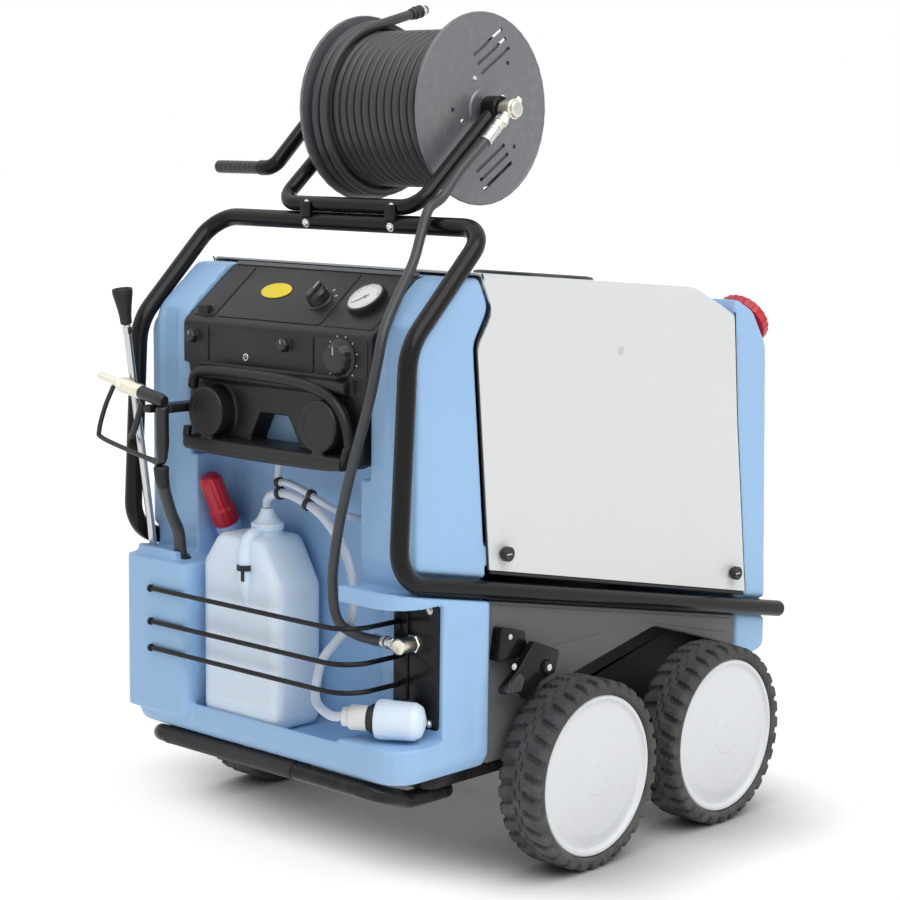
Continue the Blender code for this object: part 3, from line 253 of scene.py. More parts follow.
# --- surfaces: each is (points, list of face arrays)
def turned(corners, centre, direction, count=48, ring=False, ripple=None, steps=4):
    """A lathe surface: P(s, a) = c + r(s, a) (cos a U + sin a V) + h(s, a) N, where the profile's
    rows are radius, height and corner rounding, and ripple may vary radius and height with a."""
    across, up, along = square_axes(direction)
    profile = rounded(corners, steps, ring)
    angle = np.linspace(0, 2 * math.pi, count, endpoint=False)[None, :]
    radius, height = (np.repeat(profile[:, k:k + 1], count, axis=1) for k in (0, 1))
    if ripple:
        radius, height = ripple(radius, height, angle)
    points = (np.asarray(centre, float) + radius[..., None] * (
        np.cos(angle)[..., None] * across + np.sin(angle)[..., None] * up)
        + height[..., None] * along)
    return points.reshape(-1, 3), [grid_faces(len(profile), count, ring, True)]


def carried(path, radius, sides=20, flat=1.0, loop=False, blunt=0.3):
    """A round section carried along a path: P(s, a) = c(s) + r(s) (cos a N(s) + k sin a B(s)),
    N turned as little as possible from point to point, its ends closed with a blunt edge."""
    path = np.asarray(path, float)
    radius = np.broadcast_to(np.asarray(radius, float), len(path)).copy()
    if loop:
        tangent = unit(np.roll(path, -1, 0) - np.roll(path, 1, 0))
    else:
        tangent = unit(np.gradient(path, axis=0))
        tangent[0], tangent[-1] = unit(path[1] - path[0]), unit(path[-1] - path[-2])
        edge = blunt * radius[[0, -1]]
        fall = np.array((1.0, 0.62, 0.30, 0.0))
        depth = 1 - np.sqrt(1 - (1 - fall) ** 2)
        start = path[0] + tangent[0] * edge[0] * depth[:, None]
        finish = path[-1] - tangent[-1] * edge[1] * depth[::-1, None]
        path = np.concatenate((start[:1], start, path[1:-1], finish, finish[-1:]))
        low = radius[0] - edge[0] * fall
        high = radius[-1] - edge[1] * fall[::-1]
        radius = np.concatenate(([0.0], low, radius[1:-1], high, [0.0]))
        ends = np.repeat(tangent[:1], 5, 0), np.repeat(tangent[-1:], 5, 0)
        tangent = np.concatenate((ends[0], tangent[1:-1], ends[1]))
    normal = square_axes(tangent[0])[0]
    normals = []
    for way in tangent:
        normal = normal - way * (normal @ way)
        normal = normal / np.linalg.norm(normal)
        normals.append(normal)
    normals = np.array(normals)
    binormals = np.cross(tangent, normals)
    angle = np.linspace(0, 2 * math.pi, sides, endpoint=False)[None, :, None]
    points = path[:, None] + radius[:, None, None] * (
        np.cos(angle) * normals[:, None] + flat * np.sin(angle) * binormals[:, None])
    return points.reshape(-1, 3), [grid_faces(len(path), sides, loop, True)]


def outline_inset(outline, depth):
    """The outline moved inwards by a depth, along the mean normal of each corner's two sides."""
    ahead = unit(np.roll(outline, -1, 0) - outline)
    back = np.roll(ahead, 1, 0)
    turn = np.sign(np.sum(outline[:, 0] * np.roll(outline[:, 1], -1)
                          - outline[:, 1] * np.roll(outline[:, 0], -1)))
    inward = np.stack((-(ahead + back)[:, 1], (ahead + back)[:, 0]), axis=1) * turn
    stretch = np.maximum(np.linalg.norm(inward, axis=1, keepdims=True), 0.6)
    return outline + depth * 2 * inward / stretch ** 2


def rect(left, right, low, high, corner=0):
    """Outline rows of a rectangle."""
    return [(left, low, corner), (right, low, corner), (right, high, corner), (left, high, corner)]


def slab(corners, low, high, edge=2, origin=(0, 0, 0), across=X_AXIS, up=Y_AXIS, steps=3):
    """An outline given thickness from low to high, both rims rounded: ring k is the outline
    moved in by e(1 - sin f) at a depth of e(1 - cos f), with f from 0 to a quarter turn."""
    outline = rounded(corners, 5, True)
    angle = np.linspace(0, math.pi / 2, steps + 1)
    inset, depth = edge * (1 - np.sin(angle)), edge * (1 - np.cos(angle))
    heights = np.concatenate((high - depth, (low + depth)[::-1]))
    insets = np.concatenate((inset, inset[::-1]))
    rings = np.stack([outline_inset(outline, value) for value in insets])
    count = len(outline)
    across, up = unit(across), unit(up)
    normal = np.cross(across, up)
    points = (np.asarray(origin, float) + rings[..., :1] * across + rings[..., 1:] * up
              + heights[:, None, None] * normal)
    last = (len(insets) - 1) * count
    faces = [grid_faces(len(insets), count, False, True), np.arange(count)[None],
             (last + np.arange(count))[None]]
    return points.reshape(-1, 3), faces


def along_x(corners, low, high, edge=2, **more):
    """A slab whose outline lies in (y, z) and whose thickness runs along X."""
    return slab(corners, low, high, edge, across=Y_AXIS, up=Z_AXIS, **more)


def along_y(corners, front, back, edge=2, **more):
    """A slab whose outline lies in (x, z) and whose thickness runs from front to back."""
    return slab(corners, -back, -front, edge, across=X_AXIS, up=Z_AXIS, **more)


def block(low, high, edge=2, corner=3):
    """A block between two corners, its upright edges rounded and its rims eased."""
    (a, b, c), (d, e, f) = low, high
    return slab(rect(a, d, b, e, corner), c, f, edge)


def ellipse(width, height, count=40):
    """Outline rows of an ellipse, for slab, from its half width and half height."""
    angle = np.linspace(0, 2 * math.pi, count, endpoint=False)
    return np.stack((width * np.cos(angle), height * np.sin(angle)), axis=1)


def spoke(angle, inner, outer, half):
    """Outline rows of a mark that points outwards on a dial, at an angle from its top."""
    out = np.array((math.sin(angle), math.cos(angle)))
    side = np.array((out[1], -out[0])) * half
    return [out * inner - side, out * inner + side, out * outer + side, out * outer - side]


def band(inner, outer, half, edge):
    """Profile rows of a collar that reaches as far to both sides of its centre."""
    return [(inner, -half), (outer, -half, edge), (outer, half, edge), (inner, half)]


def fluted(number, depth, inner, low=-math.inf, high=math.inf):
    """A ripple for turned: r' = r - d (1 - cos na) / 2 where r > inner and low < h < high."""
    def ripple(radius, height, angle):
        there = (radius > inner) * (height > low) * (height < high)
        return radius - depth * (0.5 - 0.5 * np.cos(angle * number)) * there, height
    return ripple


def screw_head(place, direction, radius=6):
    """A domed hexagon bolt head on its washer."""
    washer = turned([(0, 1.2), (radius * 1.35, 1.2, 0.4), (radius * 1.35, 0)], place, direction, 24)
    head = turned([(0, radius * 0.85), (radius * 0.8, radius * 0.8, 0.8),
                   (radius, radius * 0.55, 0.8), (radius, 1)], place, direction, 6)
    return [washer, head]


def on_slope(x, share, lift=0):
    """A point of the console's sloping face: share 0 at its sill and 1 at its crest."""
    return np.array((x, 0, 0)) + SILL + share * (CREST - SILL) + lift * SLOPE_NORMAL


# --- pieces
def clean(mesh):
    """Merges the points that lie on each other and turns the faces outwards."""
    bm = bmesh.new()
    bm.from_mesh(mesh)
    bmesh.ops.remove_doubles(bm, verts=bm.verts, dist=0.000002)
    bmesh.ops.dissolve_degenerate(bm, edges=bm.edges, dist=0.0000005)
    bmesh.ops.recalc_face_normals(bm, faces=bm.faces)
    bm.to_mesh(mesh)
    bm.free()


def smooth_shading(mesh, crease):
    mesh.polygons.foreach_set("use_smooth", np.ones(len(mesh.polygons), bool))
    mesh.set_sharp_from_angle(angle=math.radians(crease))
    mesh.update()


def settle(obj, finish_name, node=None, body="machine"):
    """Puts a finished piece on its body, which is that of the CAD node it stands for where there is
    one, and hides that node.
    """
    if node:
        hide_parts(node)
        body = NODES[node]["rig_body"]
    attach(obj, body)
    return obj


def piece(name, node=None, body="machine", crease=35, **layers):
    """One object from layers of surfaces, each named by its finish. It stands for a CAD node, or
    else rides on a body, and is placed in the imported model's frame."""
    points, faces, marks, start = [], [], [], 0
    for number, surfaces in enumerate(layers.values()):
        for spots, groups in surfaces:
            points.append(spots)
            for group in groups:
                faces.extend((np.asarray(group) + start).tolist())
                marks.extend([number] * len(group))
            start += len(spots)
    mesh = bpy.data.meshes.new(name)
    mesh.from_pydata((np.concatenate(points) * MM + SHIFT).tolist(), [], faces)
    mesh.polygons.foreach_set("material_index", np.array(marks, np.int32))
    for finish_name in layers:
        mesh.materials.append(finish(finish_name))
    clean(mesh)
    smooth_shading(mesh, crease)
    obj = bpy.data.objects.new(name, mesh)
    bpy.context.scene.collection.objects.link(obj)
    return settle(obj, next(iter(layers)), node, body)


def evaluated(obj):
    """The object's mesh with its modifiers worked out."""
    graph = bpy.context.evaluated_depsgraph_get()
    graph.update()
    return bpy.data.meshes.new_from_object(obj.evaluated_get(graph))


def softened(name, node, finish_name, lattice, passes, reshape=None, flat=0.6):
    """A CAD moulding with the soft edges of the real one: its closed surface is laid on an even
    lattice, relaxed, reshaped as P' = P + d(P), and its flat areas joined up again."""
    mesh = NODES[node].data.copy()
    clean(mesh)
    obj = bpy.data.objects.new(name, mesh)
    bpy.context.scene.collection.objects.link(obj)
    remesh = obj.modifiers.new("lattice", "REMESH")
    remesh.mode = "VOXEL"
    remesh.voxel_size = lattice * MM
    relax = obj.modifiers.new("relax", "SMOOTH")
    relax.factor = 0.5
    relax.iterations = passes
    obj.data = evaluated(obj)
    obj.modifiers.clear()
    if reshape:
        count = len(obj.data.vertices)
        spots = np.empty(count * 3)
        obj.data.vertices.foreach_get("co", spots)
        spots = reshape((spots.reshape(-1, 3) - SHIFT) / MM)
        obj.data.vertices.foreach_set("co", (spots * MM + SHIFT).ravel())
    flatten = obj.modifiers.new("join_flats", "DECIMATE")
    flatten.decimate_type = "DISSOLVE"
    flatten.angle_limit = math.radians(flat)
    obj.data = evaluated(obj)
    obj.modifiers.clear()
    obj.data.name = name
    obj.data.materials.clear()
    obj.data.materials.append(finish(finish_name))
    smooth_shading(obj.data, 40)
    return settle(obj, finish_name, node)


def refinish(node, finish_name):
    """Gives a CAD node that stays as it is a finish of its own."""
    for holder in NODES[node].material_slots:
        holder.material = finish(finish_name)


def hose(name, node, route, radius, finish_name, far_end="object", stiffness="medium",
         lay="hanging", with_pieces=(), sides=18):
    """A hose along its route."""
    obj = piece(name, node, **{finish_name: [carried(route, radius, sides, blunt=0.12)]})
    return obj


# --- shader groups
def add_node(tree, kind, values=None, links=None, **settings):
    made = tree.nodes.new(kind)
    for key, value in settings.items():
        setattr(made, key, value)
    for key, value in (values or {}).items():
        made.inputs[key].default_value = value
    for key, source in (links or {}).items():
        tree.links.new(source, made.inputs[key])
    return made


def new_group(name, inputs, outputs):
    tree = bpy.data.node_groups.new(name, "ShaderNodeTree")
    for label, kind, value in inputs:
        socket = tree.interface.new_socket(label, in_out="INPUT", socket_type=kind)
        socket.default_value = value
    for label, kind in outputs:
        tree.interface.new_socket(label, in_out="OUTPUT", socket_type=kind)
    return tree, tree.nodes.new("NodeGroupInput").outputs, tree.nodes.new("NodeGroupOutput").inputs


FLOAT, COLOUR = "NodeSocketFloat", "NodeSocketColor"
GREY = (0.5, 0.5, 0.5, 1.0)


def maths(tree, operation, first, second=None, clamp=False):
    made = tree.nodes.new("ShaderNodeMath")
    made.operation = operation
    made.use_clamp = clamp
    for socket, value in zip(made.inputs, (first, second)):
        if isinstance(value, (int, float)):
            socket.default_value = value
        elif value is not None:
            tree.links.new(value, socket)
    return made.outputs[0]


def mixed(tree, factor, first, second, blend="MIX"):
    made = tree.nodes.new("ShaderNodeMix")
    made.data_type = "RGBA"
    made.blend_type = blend
    for key, value in ((0, factor), (6, first), (7, second)):
        if isinstance(value, (int, float, tuple)):
            made.inputs[key].default_value = value
        else:
            tree.links.new(value, made.inputs[key])
    return made.outputs[2]


def object_point(tree):
    return tree.nodes.new("ShaderNodeTexCoord").outputs["Object"]


def noise(tree, scale, detail=3.0, rough=0.55, stretch=None):
    point = object_point(tree)
    if stretch:
        point = add_node(tree, "ShaderNodeMapping", {"Scale": stretch},
                         {"Vector": point}).outputs[0]
    made = add_node(tree, "ShaderNodeTexNoise", {"Detail": detail, "Roughness": rough},
                    {"Vector": point})
    if isinstance(scale, (int, float)):
        made.inputs["Scale"].default_value = scale
    else:
        tree.links.new(scale, made.inputs["Scale"])
    return made.outputs["Fac"]


def build_groups():
    """Tone drift, grain, settled dust, worn edges and faint scratches, used by the finishes."""
    tree, given, out = new_group(
        "tone_drift", [("Colour", COLOUR, GREY), ("Scale", FLOAT, 6.0), ("Strength", FLOAT, 0.1)],
        [("Colour", COLOUR), ("Mask", FLOAT)])
    cloud = noise(tree, given["Scale"], 4.0, 0.6)
    level = maths(tree, "MULTIPLY_ADD", maths(tree, "SUBTRACT", cloud, 0.5), given["Strength"])
    level.node.inputs[2].default_value = 1.0
    bright = add_node(tree, "ShaderNodeHueSaturation", links={
        "Value": level, "Color": given["Colour"]}).outputs[0]
    tree.links.new(bright, out["Colour"])
    tree.links.new(cloud, out["Mask"])

    tree, given, out = new_group(
        "moulded_grain", [("Scale", FLOAT, 900.0), ("Pits", FLOAT, 0.4)],
        [("Height", FLOAT), ("Mask", FLOAT)])
    fine = noise(tree, given["Scale"], 2.0, 0.6)
    cell = add_node(tree, "ShaderNodeTexVoronoi", links={
        "Vector": object_point(tree), "Scale": maths(tree, "MULTIPLY", given["Scale"], 0.45)})
    pits = maths(tree, "MULTIPLY", cell.outputs["Distance"], given["Pits"])
    tree.links.new(maths(tree, "ADD", fine, pits), out["Height"])
    tree.links.new(fine, out["Mask"])

    tree, given, out = new_group(
        "settled_dust",
        [("Colour", COLOUR, GREY), ("Dust", COLOUR, (0.36, 0.33, 0.29, 1)),
         ("Reach", FLOAT, 0.35), ("Amount", FLOAT, 0.5)],
        [("Colour", COLOUR), ("Mask", FLOAT)])
    height = add_node(tree, "ShaderNodeSeparateXYZ", links={"Vector": object_point(tree)})
    low = add_node(tree, "ShaderNodeMapRange", {"From Min": 0.0, "To Min": 1.0, "To Max": 0.0},
                   {"Value": height.outputs["Z"], "From Max": given["Reach"]})
    patch = add_node(tree, "ShaderNodeMapRange", {"From Min": 0.38, "From Max": 0.72},
                     {"Value": noise(tree, 28.0, 6.0, 0.65)})
    mask = maths(tree, "MULTIPLY", low.outputs[0], patch.outputs[0])
    mask = maths(tree, "MULTIPLY", mask, given["Amount"], clamp=True)
    tree.links.new(mixed(tree, mask, given["Colour"], given["Dust"]), out["Colour"])
    tree.links.new(mask, out["Mask"])

    tree, given, out = new_group(
        "worn_edges",
        [("Colour", COLOUR, GREY), ("Worn", COLOUR, (0.6, 0.6, 0.6, 1)), ("Amount", FLOAT, 0.5)],
        [("Colour", COLOUR), ("Mask", FLOAT)])
    point = tree.nodes.new("ShaderNodeNewGeometry").outputs["Pointiness"]
    rim = add_node(tree, "ShaderNodeMapRange", {"From Min": 0.52, "From Max": 0.60},
                   {"Value": point})
    broken = add_node(tree, "ShaderNodeMapRange", {"From Min": 0.45, "From Max": 0.62},
                      {"Value": noise(tree, 60.0, 5.0, 0.6)})
    mask = maths(tree, "MULTIPLY", rim.outputs[0], broken.outputs[0])
    mask = maths(tree, "MULTIPLY", mask, given["Amount"], clamp=True)
    tree.links.new(mixed(tree, mask, given["Colour"], given["Worn"]), out["Colour"])
    tree.links.new(mask, out["Mask"])

    tree, given, out = new_group(
        "faint_scratches", [("Scale", FLOAT, 60.0), ("Amount", FLOAT, 0.3)], [("Mask", FLOAT)])
    lines = maths(tree, "MAXIMUM", noise(tree, given["Scale"], 1.0, 0.4, (0.25, 9.0, 9.0)),
                  noise(tree, given["Scale"], 1.0, 0.4, (9.0, 0.25, 9.0)))
    thin = add_node(tree, "ShaderNodeMapRange", {"From Min": 0.70, "From Max": 0.76},
                    {"Value": lines})
    tree.links.new(maths(tree, "MULTIPLY", thin.outputs[0], given["Amount"]), out["Mask"])


def use_group(tree, name, values=None, links=None):
    made = tree.nodes.new("ShaderNodeGroup")
    made.node_tree = bpy.data.node_groups[name]
    for key, value in (values or {}).items():
        made.inputs[key].default_value = value
    for key, source in (links or {}).items():
        tree.links.new(source, made.inputs[key])
    return made.outputs


# --- finishes
def look(colour, rough, **more):
    """A finish: colour (linear, or the name of a colour property), roughness, metallic, grain
    (scale, pits, depth), drift, dust, wear, scratches, a material slot where its name is another,
    which is not used, and extra sockets that stay the same all over it."""
    return {"colour": colour, "rough": rough, "grain": (900, 0.4, 0.12), "drift": 0.10, "dust": 0,
            "wear": 0, "scratch": 0, "metallic": 0, "extra": {}, **more}


FINISHES = {
    "blue_body": look(
        "body", 0.42, grain=(620, 0.6, 0.22), drift=0.12, dust=0.30, wear=0.25, scratch=0.25,
        worn=(0.62, 0.74, 0.88), extra={"Subsurface Weight": 0.06, "Subsurface Scale": 0.01}),
    "white_sheet": look(
        "sheet", 0.30, grain=(380, 0.2, 0.10), drift=0.05, scratch=0.15,
        extra={"Coat Weight": 0.25, "Coat Roughness": 0.12}),
    "dark_panel": look(
        "panel", 0.62, grain=(520, 1.2, 0.45), drift=0.16, dust=0.35, wear=0.3,
        worn=(0.20, 0.20, 0.20)),
    "chassis_steel": look(
        "coating", 0.26, grain=(460, 0.3, 0.12), drift=0.25, dust=0.15, wear=0.30, scratch=0.30,
        worn=(0.11, 0.11, 0.12),
        extra={"Specular IOR Level": 0.16, "Coat Weight": 0.12, "Coat Roughness": 0.06}),
    "console_plastic": look(
        "console", 0.40, grain=(700, 1.0, 0.30), drift=0.22, wear=0.25, worn=(0.12, 0.12, 0.12),
        extra={"Specular IOR Level": 0.34}),
    "knob_plastic": look(
        shade(26, 26, 27), 0.36, drift=0.25, wear=0.3, worn=(0.10, 0.10, 0.10)),
    "tyre_rubber": look(
        "rubber", 0.82, grain=(420, 0.7, 0.3), drift=0.20, dust=0.35, wear=0.3,
        worn=(0.11, 0.11, 0.11)),
    "hose_rubber": look("hose", 0.40, grain=(800, 0.3, 0.15), drift=0.35, scratch=0.5),
    "wheel_plastic": look("disc", 0.44, grain=(600, 0.4, 0.12), drift=0.03, dust=0.10),
    "bright_steel": look(
        (0.60, 0.60, 0.60), 0.22, metallic=1.0, grain=(500, 0.1, 0.06), drift=0.15, scratch=0.3),
    "brass": look(
        (0.78, 0.74, 0.62), 0.26, metallic=1.0, grain=(500, 0.1, 0.06), drift=0.25, scratch=0.5),
    "reel_sheet": look(
        "reel", 0.36, metallic=0.35, grain=(420, 0.3, 0.14), drift=0.08, wear=0.2, scratch=0.2,
        worn=(0.30, 0.30, 0.30), extra={"Coat Weight": 0.2, "Coat Roughness": 0.25}),
    "red_plastic": look("cap", 0.34, drift=0.15, wear=0.3, worn=(0.75, 0.18, 0.18)),
    "milky_plastic": look(
        "milk", 0.36, grain=(500, 0.4, 0.1), drift=0.08,
        extra={"Subsurface Weight": 0.35, "Subsurface Scale": 0.03}),
    "clear_hose": look(
        shade(232, 240, 250), 0.16, grain=(200, 0.1, 0.05), drift=0.05, slot="milky_plastic",
        extra={"Transmission Weight": 0.35, "IOR": 1.45}),
    "dial_glass": look(
        (0.96, 0.97, 0.98), 0.03, grain=(60, 0.0, 0.01), drift=0.02, slot="dial_plastic",
        extra={"Transmission Weight": 0.95, "IOR": 1.3}),
    "dial_plastic": look(shade(226, 226, 222), 0.4, drift=0.06),
    "white_mark": look(shade(205, 205, 202), 0.45, drift=0.15, slot="dial_plastic"),
    "yellow_plastic": look(shade(248, 220, 8), 0.35, slot="dial_plastic"),
    "seal_rubber": look(shade(18, 18, 19), 0.6, drift=0.25, slot="hose_rubber"),
    "dark_steel": look(
        shade(60, 61, 64), 0.5, metallic=0.6, drift=0.4, scratch=0.4, slot="chassis_steel"),
    "lamp_lens": look(shade(90, 100, 92), 0.12, drift=0.05, slot="dial_plastic"),
}


def finish(name):
    """The material of that name, made when it is first asked for."""
    label = f"{name}_finish"
    if label in bpy.data.materials:
        return bpy.data.materials[label]
    values = FINISHES[name]
    colour = values["colour"]
    if isinstance(colour, str):
        colour = getattr(bpy.context.scene.washer_colours, colour)
    made = bpy.data.materials.new(label)
    made.use_nodes = True
    tree = made.node_tree
    shader = tree.nodes["Principled BSDF"]
    tone = use_group(tree, "tone_drift", {
        "Colour": (*colour, 1), "Scale": 7.0, "Strength": values["drift"]})
    colour = tone["Colour"]
    rough = maths(tree, "MULTIPLY_ADD", tone["Mask"], values["rough"] * 0.35)
    rough.node.inputs[2].default_value = values["rough"] * 0.82
    if values["wear"]:
        worn = use_group(
            tree, "worn_edges", {"Worn": (*values["worn"], 1), "Amount": values["wear"]},
            {"Colour": colour})
        colour = worn["Colour"]
    if values["dust"]:
        dust = use_group(tree, "settled_dust", {"Amount": values["dust"]}, {"Colour": colour})
        colour = dust["Colour"]
        rough = maths(tree, "ADD", rough, maths(tree, "MULTIPLY", dust["Mask"], 0.3), clamp=True)
    if values["scratch"]:
        lines = use_group(tree, "faint_scratches", {"Amount": values["scratch"]})
        rough = maths(tree, "ADD", rough, maths(tree, "MULTIPLY", lines["Mask"], 0.35), clamp=True)
    scale, pits, depth = values["grain"]
    grain = use_group(tree, "moulded_grain", {"Scale": float(scale), "Pits": pits})
    bump = add_node(tree, "ShaderNodeBump", {"Strength": 0.6, "Distance": depth * MM},
                    {"Height": grain["Height"]})
    tree.links.new(colour, shader.inputs["Base Color"])
    tree.links.new(rough, shader.inputs["Roughness"])
    tree.links.new(bump.outputs[0], shader.inputs["Normal"])
    shader.inputs["Metallic"].default_value = values["metallic"]
    for key, value in values["extra"].items():
        shader.inputs[key].default_value = value
    return made


# --- stage
def make_camera():
    """The camera of the picture: 42.7 degrees round to the right and 8 degrees down."""
    azimuth, pitch, roll = (math.radians(v) for v in (42.688, 7.971, 0.658))
    ahead = Vector((-math.sin(azimuth) * math.cos(pitch), math.cos(azimuth) * math.cos(pitch),
                    -math.sin(pitch)))
    level = Vector((math.cos(azimuth), math.sin(azimuth), 0))
    up = level.cross(ahead)
    right = level * math.cos(roll) + up * math.sin(roll)
    up = up * math.cos(roll) - level * math.sin(roll)
    data = bpy.data.cameras.new("camera")
    data.sensor_width = 36
    data.lens = 89.44
    data.clip_end = 200
    camera = bpy.data.objects.new("camera", data)
    place = np.array((2.5537, -2.8679, 1.1552)) + SHIFT
    camera.matrix_world = Matrix((
        (right.x, up.x, -ahead.x, place[0]), (right.y, up.y, -ahead.y, place[1]),
        (right.z, up.z, -ahead.z, place[2]), (0, 0, 0, 1)))
    bpy.context.scene.collection.objects.link(camera)
    bpy.context.scene.camera = camera


def camera_seen(tree):
    """1 where a surface is seen directly, in a reflection or through glass."""
    path = tree.nodes.new("ShaderNodeLightPath").outputs
    seen = maths(tree, "MAXIMUM", path["Is Camera Ray"], path["Is Glossy Ray"])
    return maths(tree, "MAXIMUM", seen, path["Is Transmission Ray"])


def make_floor():
    """A pale floor, a flat disc whose rings are spaced as the square of their number. A shadow is
    painted into its glow where the machine covers it, less in front, as if light reached in there."""
    rings, sectors, reach = 13, 48, 60.0
    ring = np.linspace(0, 1, rings + 1)[1:, None] ** 2 * reach
    angle = np.linspace(0, 2 * math.pi, sectors, endpoint=False)[None, :]
    points = np.stack((ring * np.cos(angle), ring * np.sin(angle), 0 * ring * angle), axis=-1)
    points = np.concatenate((points.reshape(-1, 3), [(0, 0, 0)]))
    first = np.arange(sectors)
    hub = np.stack((first, (first + 1) % sectors, np.full(sectors, rings * sectors)), axis=1)
    mesh = bpy.data.meshes.new("floor")
    quads = grid_faces(rings, sectors, False, True)
    mesh.from_pydata(points.tolist(), [], quads.tolist() + hub.tolist())
    material = bpy.data.materials.new("pale_floor")
    material.use_nodes = True
    tree = material.node_tree
    shader = tree.nodes["Principled BSDF"]
    shader.inputs["Base Color"].default_value = (0.26, 0.26, 0.26, 1)
    shader.inputs["Roughness"].default_value = 0.75
    shader.inputs["Specular IOR Level"].default_value = 0.2
    shader.inputs["Emission Color"].default_value = (1, 1, 1, 1)
    # Painted shadow: the glow is the ambient occlusion raised to a power that rises from 0 in front
    # of the machine to 2.4 under it, so the floor is painted darker under the machine and not in
    # front.
    open_sky = add_node(tree, "ShaderNodeAmbientOcclusion", {"Distance": 0.24}, samples=12)
    place = add_node(tree, "ShaderNodeSeparateXYZ", links={"Vector": object_point(tree)})
    under = add_node(
        tree, "ShaderNodeMapRange",
        {"From Min": SHIFT[1] - 0.47, "From Max": SHIFT[1] - 0.20, "To Max": 2.4},
        {"Value": place.outputs["Y"]}, interpolation_type="SMOOTHSTEP")
    floor_painted_shadow = maths(tree, "POWER", open_sky.outputs["AO"], under.outputs[0])
    glow = maths(tree, "MULTIPLY", floor_painted_shadow, 0.85)
    tree.links.new(glow, shader.inputs["Emission Strength"])
    mesh.materials.append(material)
    clean(mesh)
    obj = bpy.data.objects.new("floor", mesh)
    bpy.context.scene.collection.objects.link(obj)


def make_lights():
    """A soft key from the right, a weaker fill from the left and an even pale surround."""
    for name, strength, spread, heading in (
            ("key_light", 2.02, 58, (-0.62, 0.14, -0.86)),
            ("fill_light", 0.34, 80, (0.50, 0.35, -1.00))):
        data = bpy.data.lights.new(name, "SUN")
        data.energy = strength
        data.angle = math.radians(spread)
        lamp = bpy.data.objects.new(name, data)
        lamp.rotation_euler = Vector(heading).to_track_quat("-Z", "Y").to_euler()
        bpy.context.scene.collection.objects.link(lamp)
    world = bpy.data.worlds.new("surround")
    bpy.context.scene.world = world
    world.use_nodes = True
    tree = world.node_tree
    back = tree.nodes["Background"]
    seen = camera_seen(tree)
    tree.links.new(mixed(tree, seen, (0.80, 0.91, 1.0, 1), (1.0, 1.0, 1.0, 1)),
                   back.inputs["Color"])
    level = maths(tree, "MULTIPLY_ADD", seen, 0.75)
    level.node.inputs[2].default_value = 0.25
    tree.links.new(level, back.inputs["Strength"])
    bpy.context.scene.view_settings.view_transform = "Standard"


# --- hoses
STAND_BAR = np.array((0, BOW[0], BOW[1] + FRAME_TUBE + 12.5))
ARM_WAY = unit(STAND_BAR - REEL_AXIS)
SWIVEL_X = 176.3


def feed_route():
    """From the reel's swivel down to the outlet in the niche."""
    root = REEL_AXIS + (SWIVEL_X + 15, 0, 0)
    start = root + ARM_WAY * (46 + TOUCH)
    second = root + ARM_WAY * 75
    end = np.array(OUTLET_STUB)
    route = [
        start, second, (192.5, -290, 1105), (193.5, -332, 1064), (196.5, -366, 1046),
        (201, -386, 1012), (210, -414, 966), (226, -462, 920), (242, -508, 872), (245, -526, 820),
        (232, -530, 760), (211, -534, 690), (189, -535, 620), (168, -532, 550), (156, -529, 480),
        (162, -524, 424), (184, -504, 400), end - (TOUCH + 10, 0, 0), end - (TOUCH, 0, 0)]
    return flowing(route, 8)


def suction_route():
    """From the canister's cap down to the filter in the niche."""
    end = FILTER_NECK - FILTER_WAY * TOUCH
    route = [
        (-30, -492, 569.8), (-30, -492, 581.5), (-12, -498, 594), (24, -500, 599), (66, -500, 590),
        (104, -500, 573), (141, -500, 541), (166, -500, 498), (173, -500, 452), (163, -499, 412),
        (134, -497, 382), (106, -500, 348), (104, -512, 313), (124, -531, 288),
        end - FILTER_WAY * 20, end]
    return flowing(route, 5)


LANCE_LEAN = math.atan2(56, 380)


def gun_hose_point(z):
    """A point of the gun hose's straight part, parallel to the lance."""
    return (-200, -525.5 - math.tan(LANCE_LEAN) * (z - 470), z)


def gun_hose_route():
    """From the gun's handle into the holster."""
    route = [
        (-181, -583, 629.2), (-182, -581, 610), (-189, -567, 578), (-197, -549, 545),
        gun_hose_point(515), gun_hose_point(480), gun_hose_point(380.6)]
    return flowing(route, 6)


def winding_route(per_turn=56):
    """The wound hose: P(t) = axis + (x(t), -R(t) sin a, R(t) cos a), a the angle left to the top;
    14 turns side by side, a quarter turn in which it climbs a layer, and a straight tail."""
    pitch, turns, upper, climb, tail_turn = 16.9, 14, 1.85, 0.25, 0.035
    turn = np.linspace(0, turns + upper, int(round((turns + upper) * per_turn)) + 1)
    over = np.maximum(turn - turns, 0)
    rise = np.sin(np.minimum(over / climb, 1) * math.pi / 2)
    back = np.where(over > 1, over, np.maximum(over - climb, 0) / (1 - climb))
    x = turns * pitch / 2 - np.minimum(turn, turns) * pitch + back * pitch
    angle = 2 * math.pi * (turns + upper - turn + tail_turn)
    radius = 120 + rise * pitch
    coil = REEL_AXIS + np.stack((x, -radius * np.sin(angle), radius * np.cos(angle)), axis=1)
    tail = unit((0, 1.0, 0.27)) * 92 * np.linspace(0.05, 1, 20)[:, None]
    return np.concatenate((coil, coil[-1] + tail))


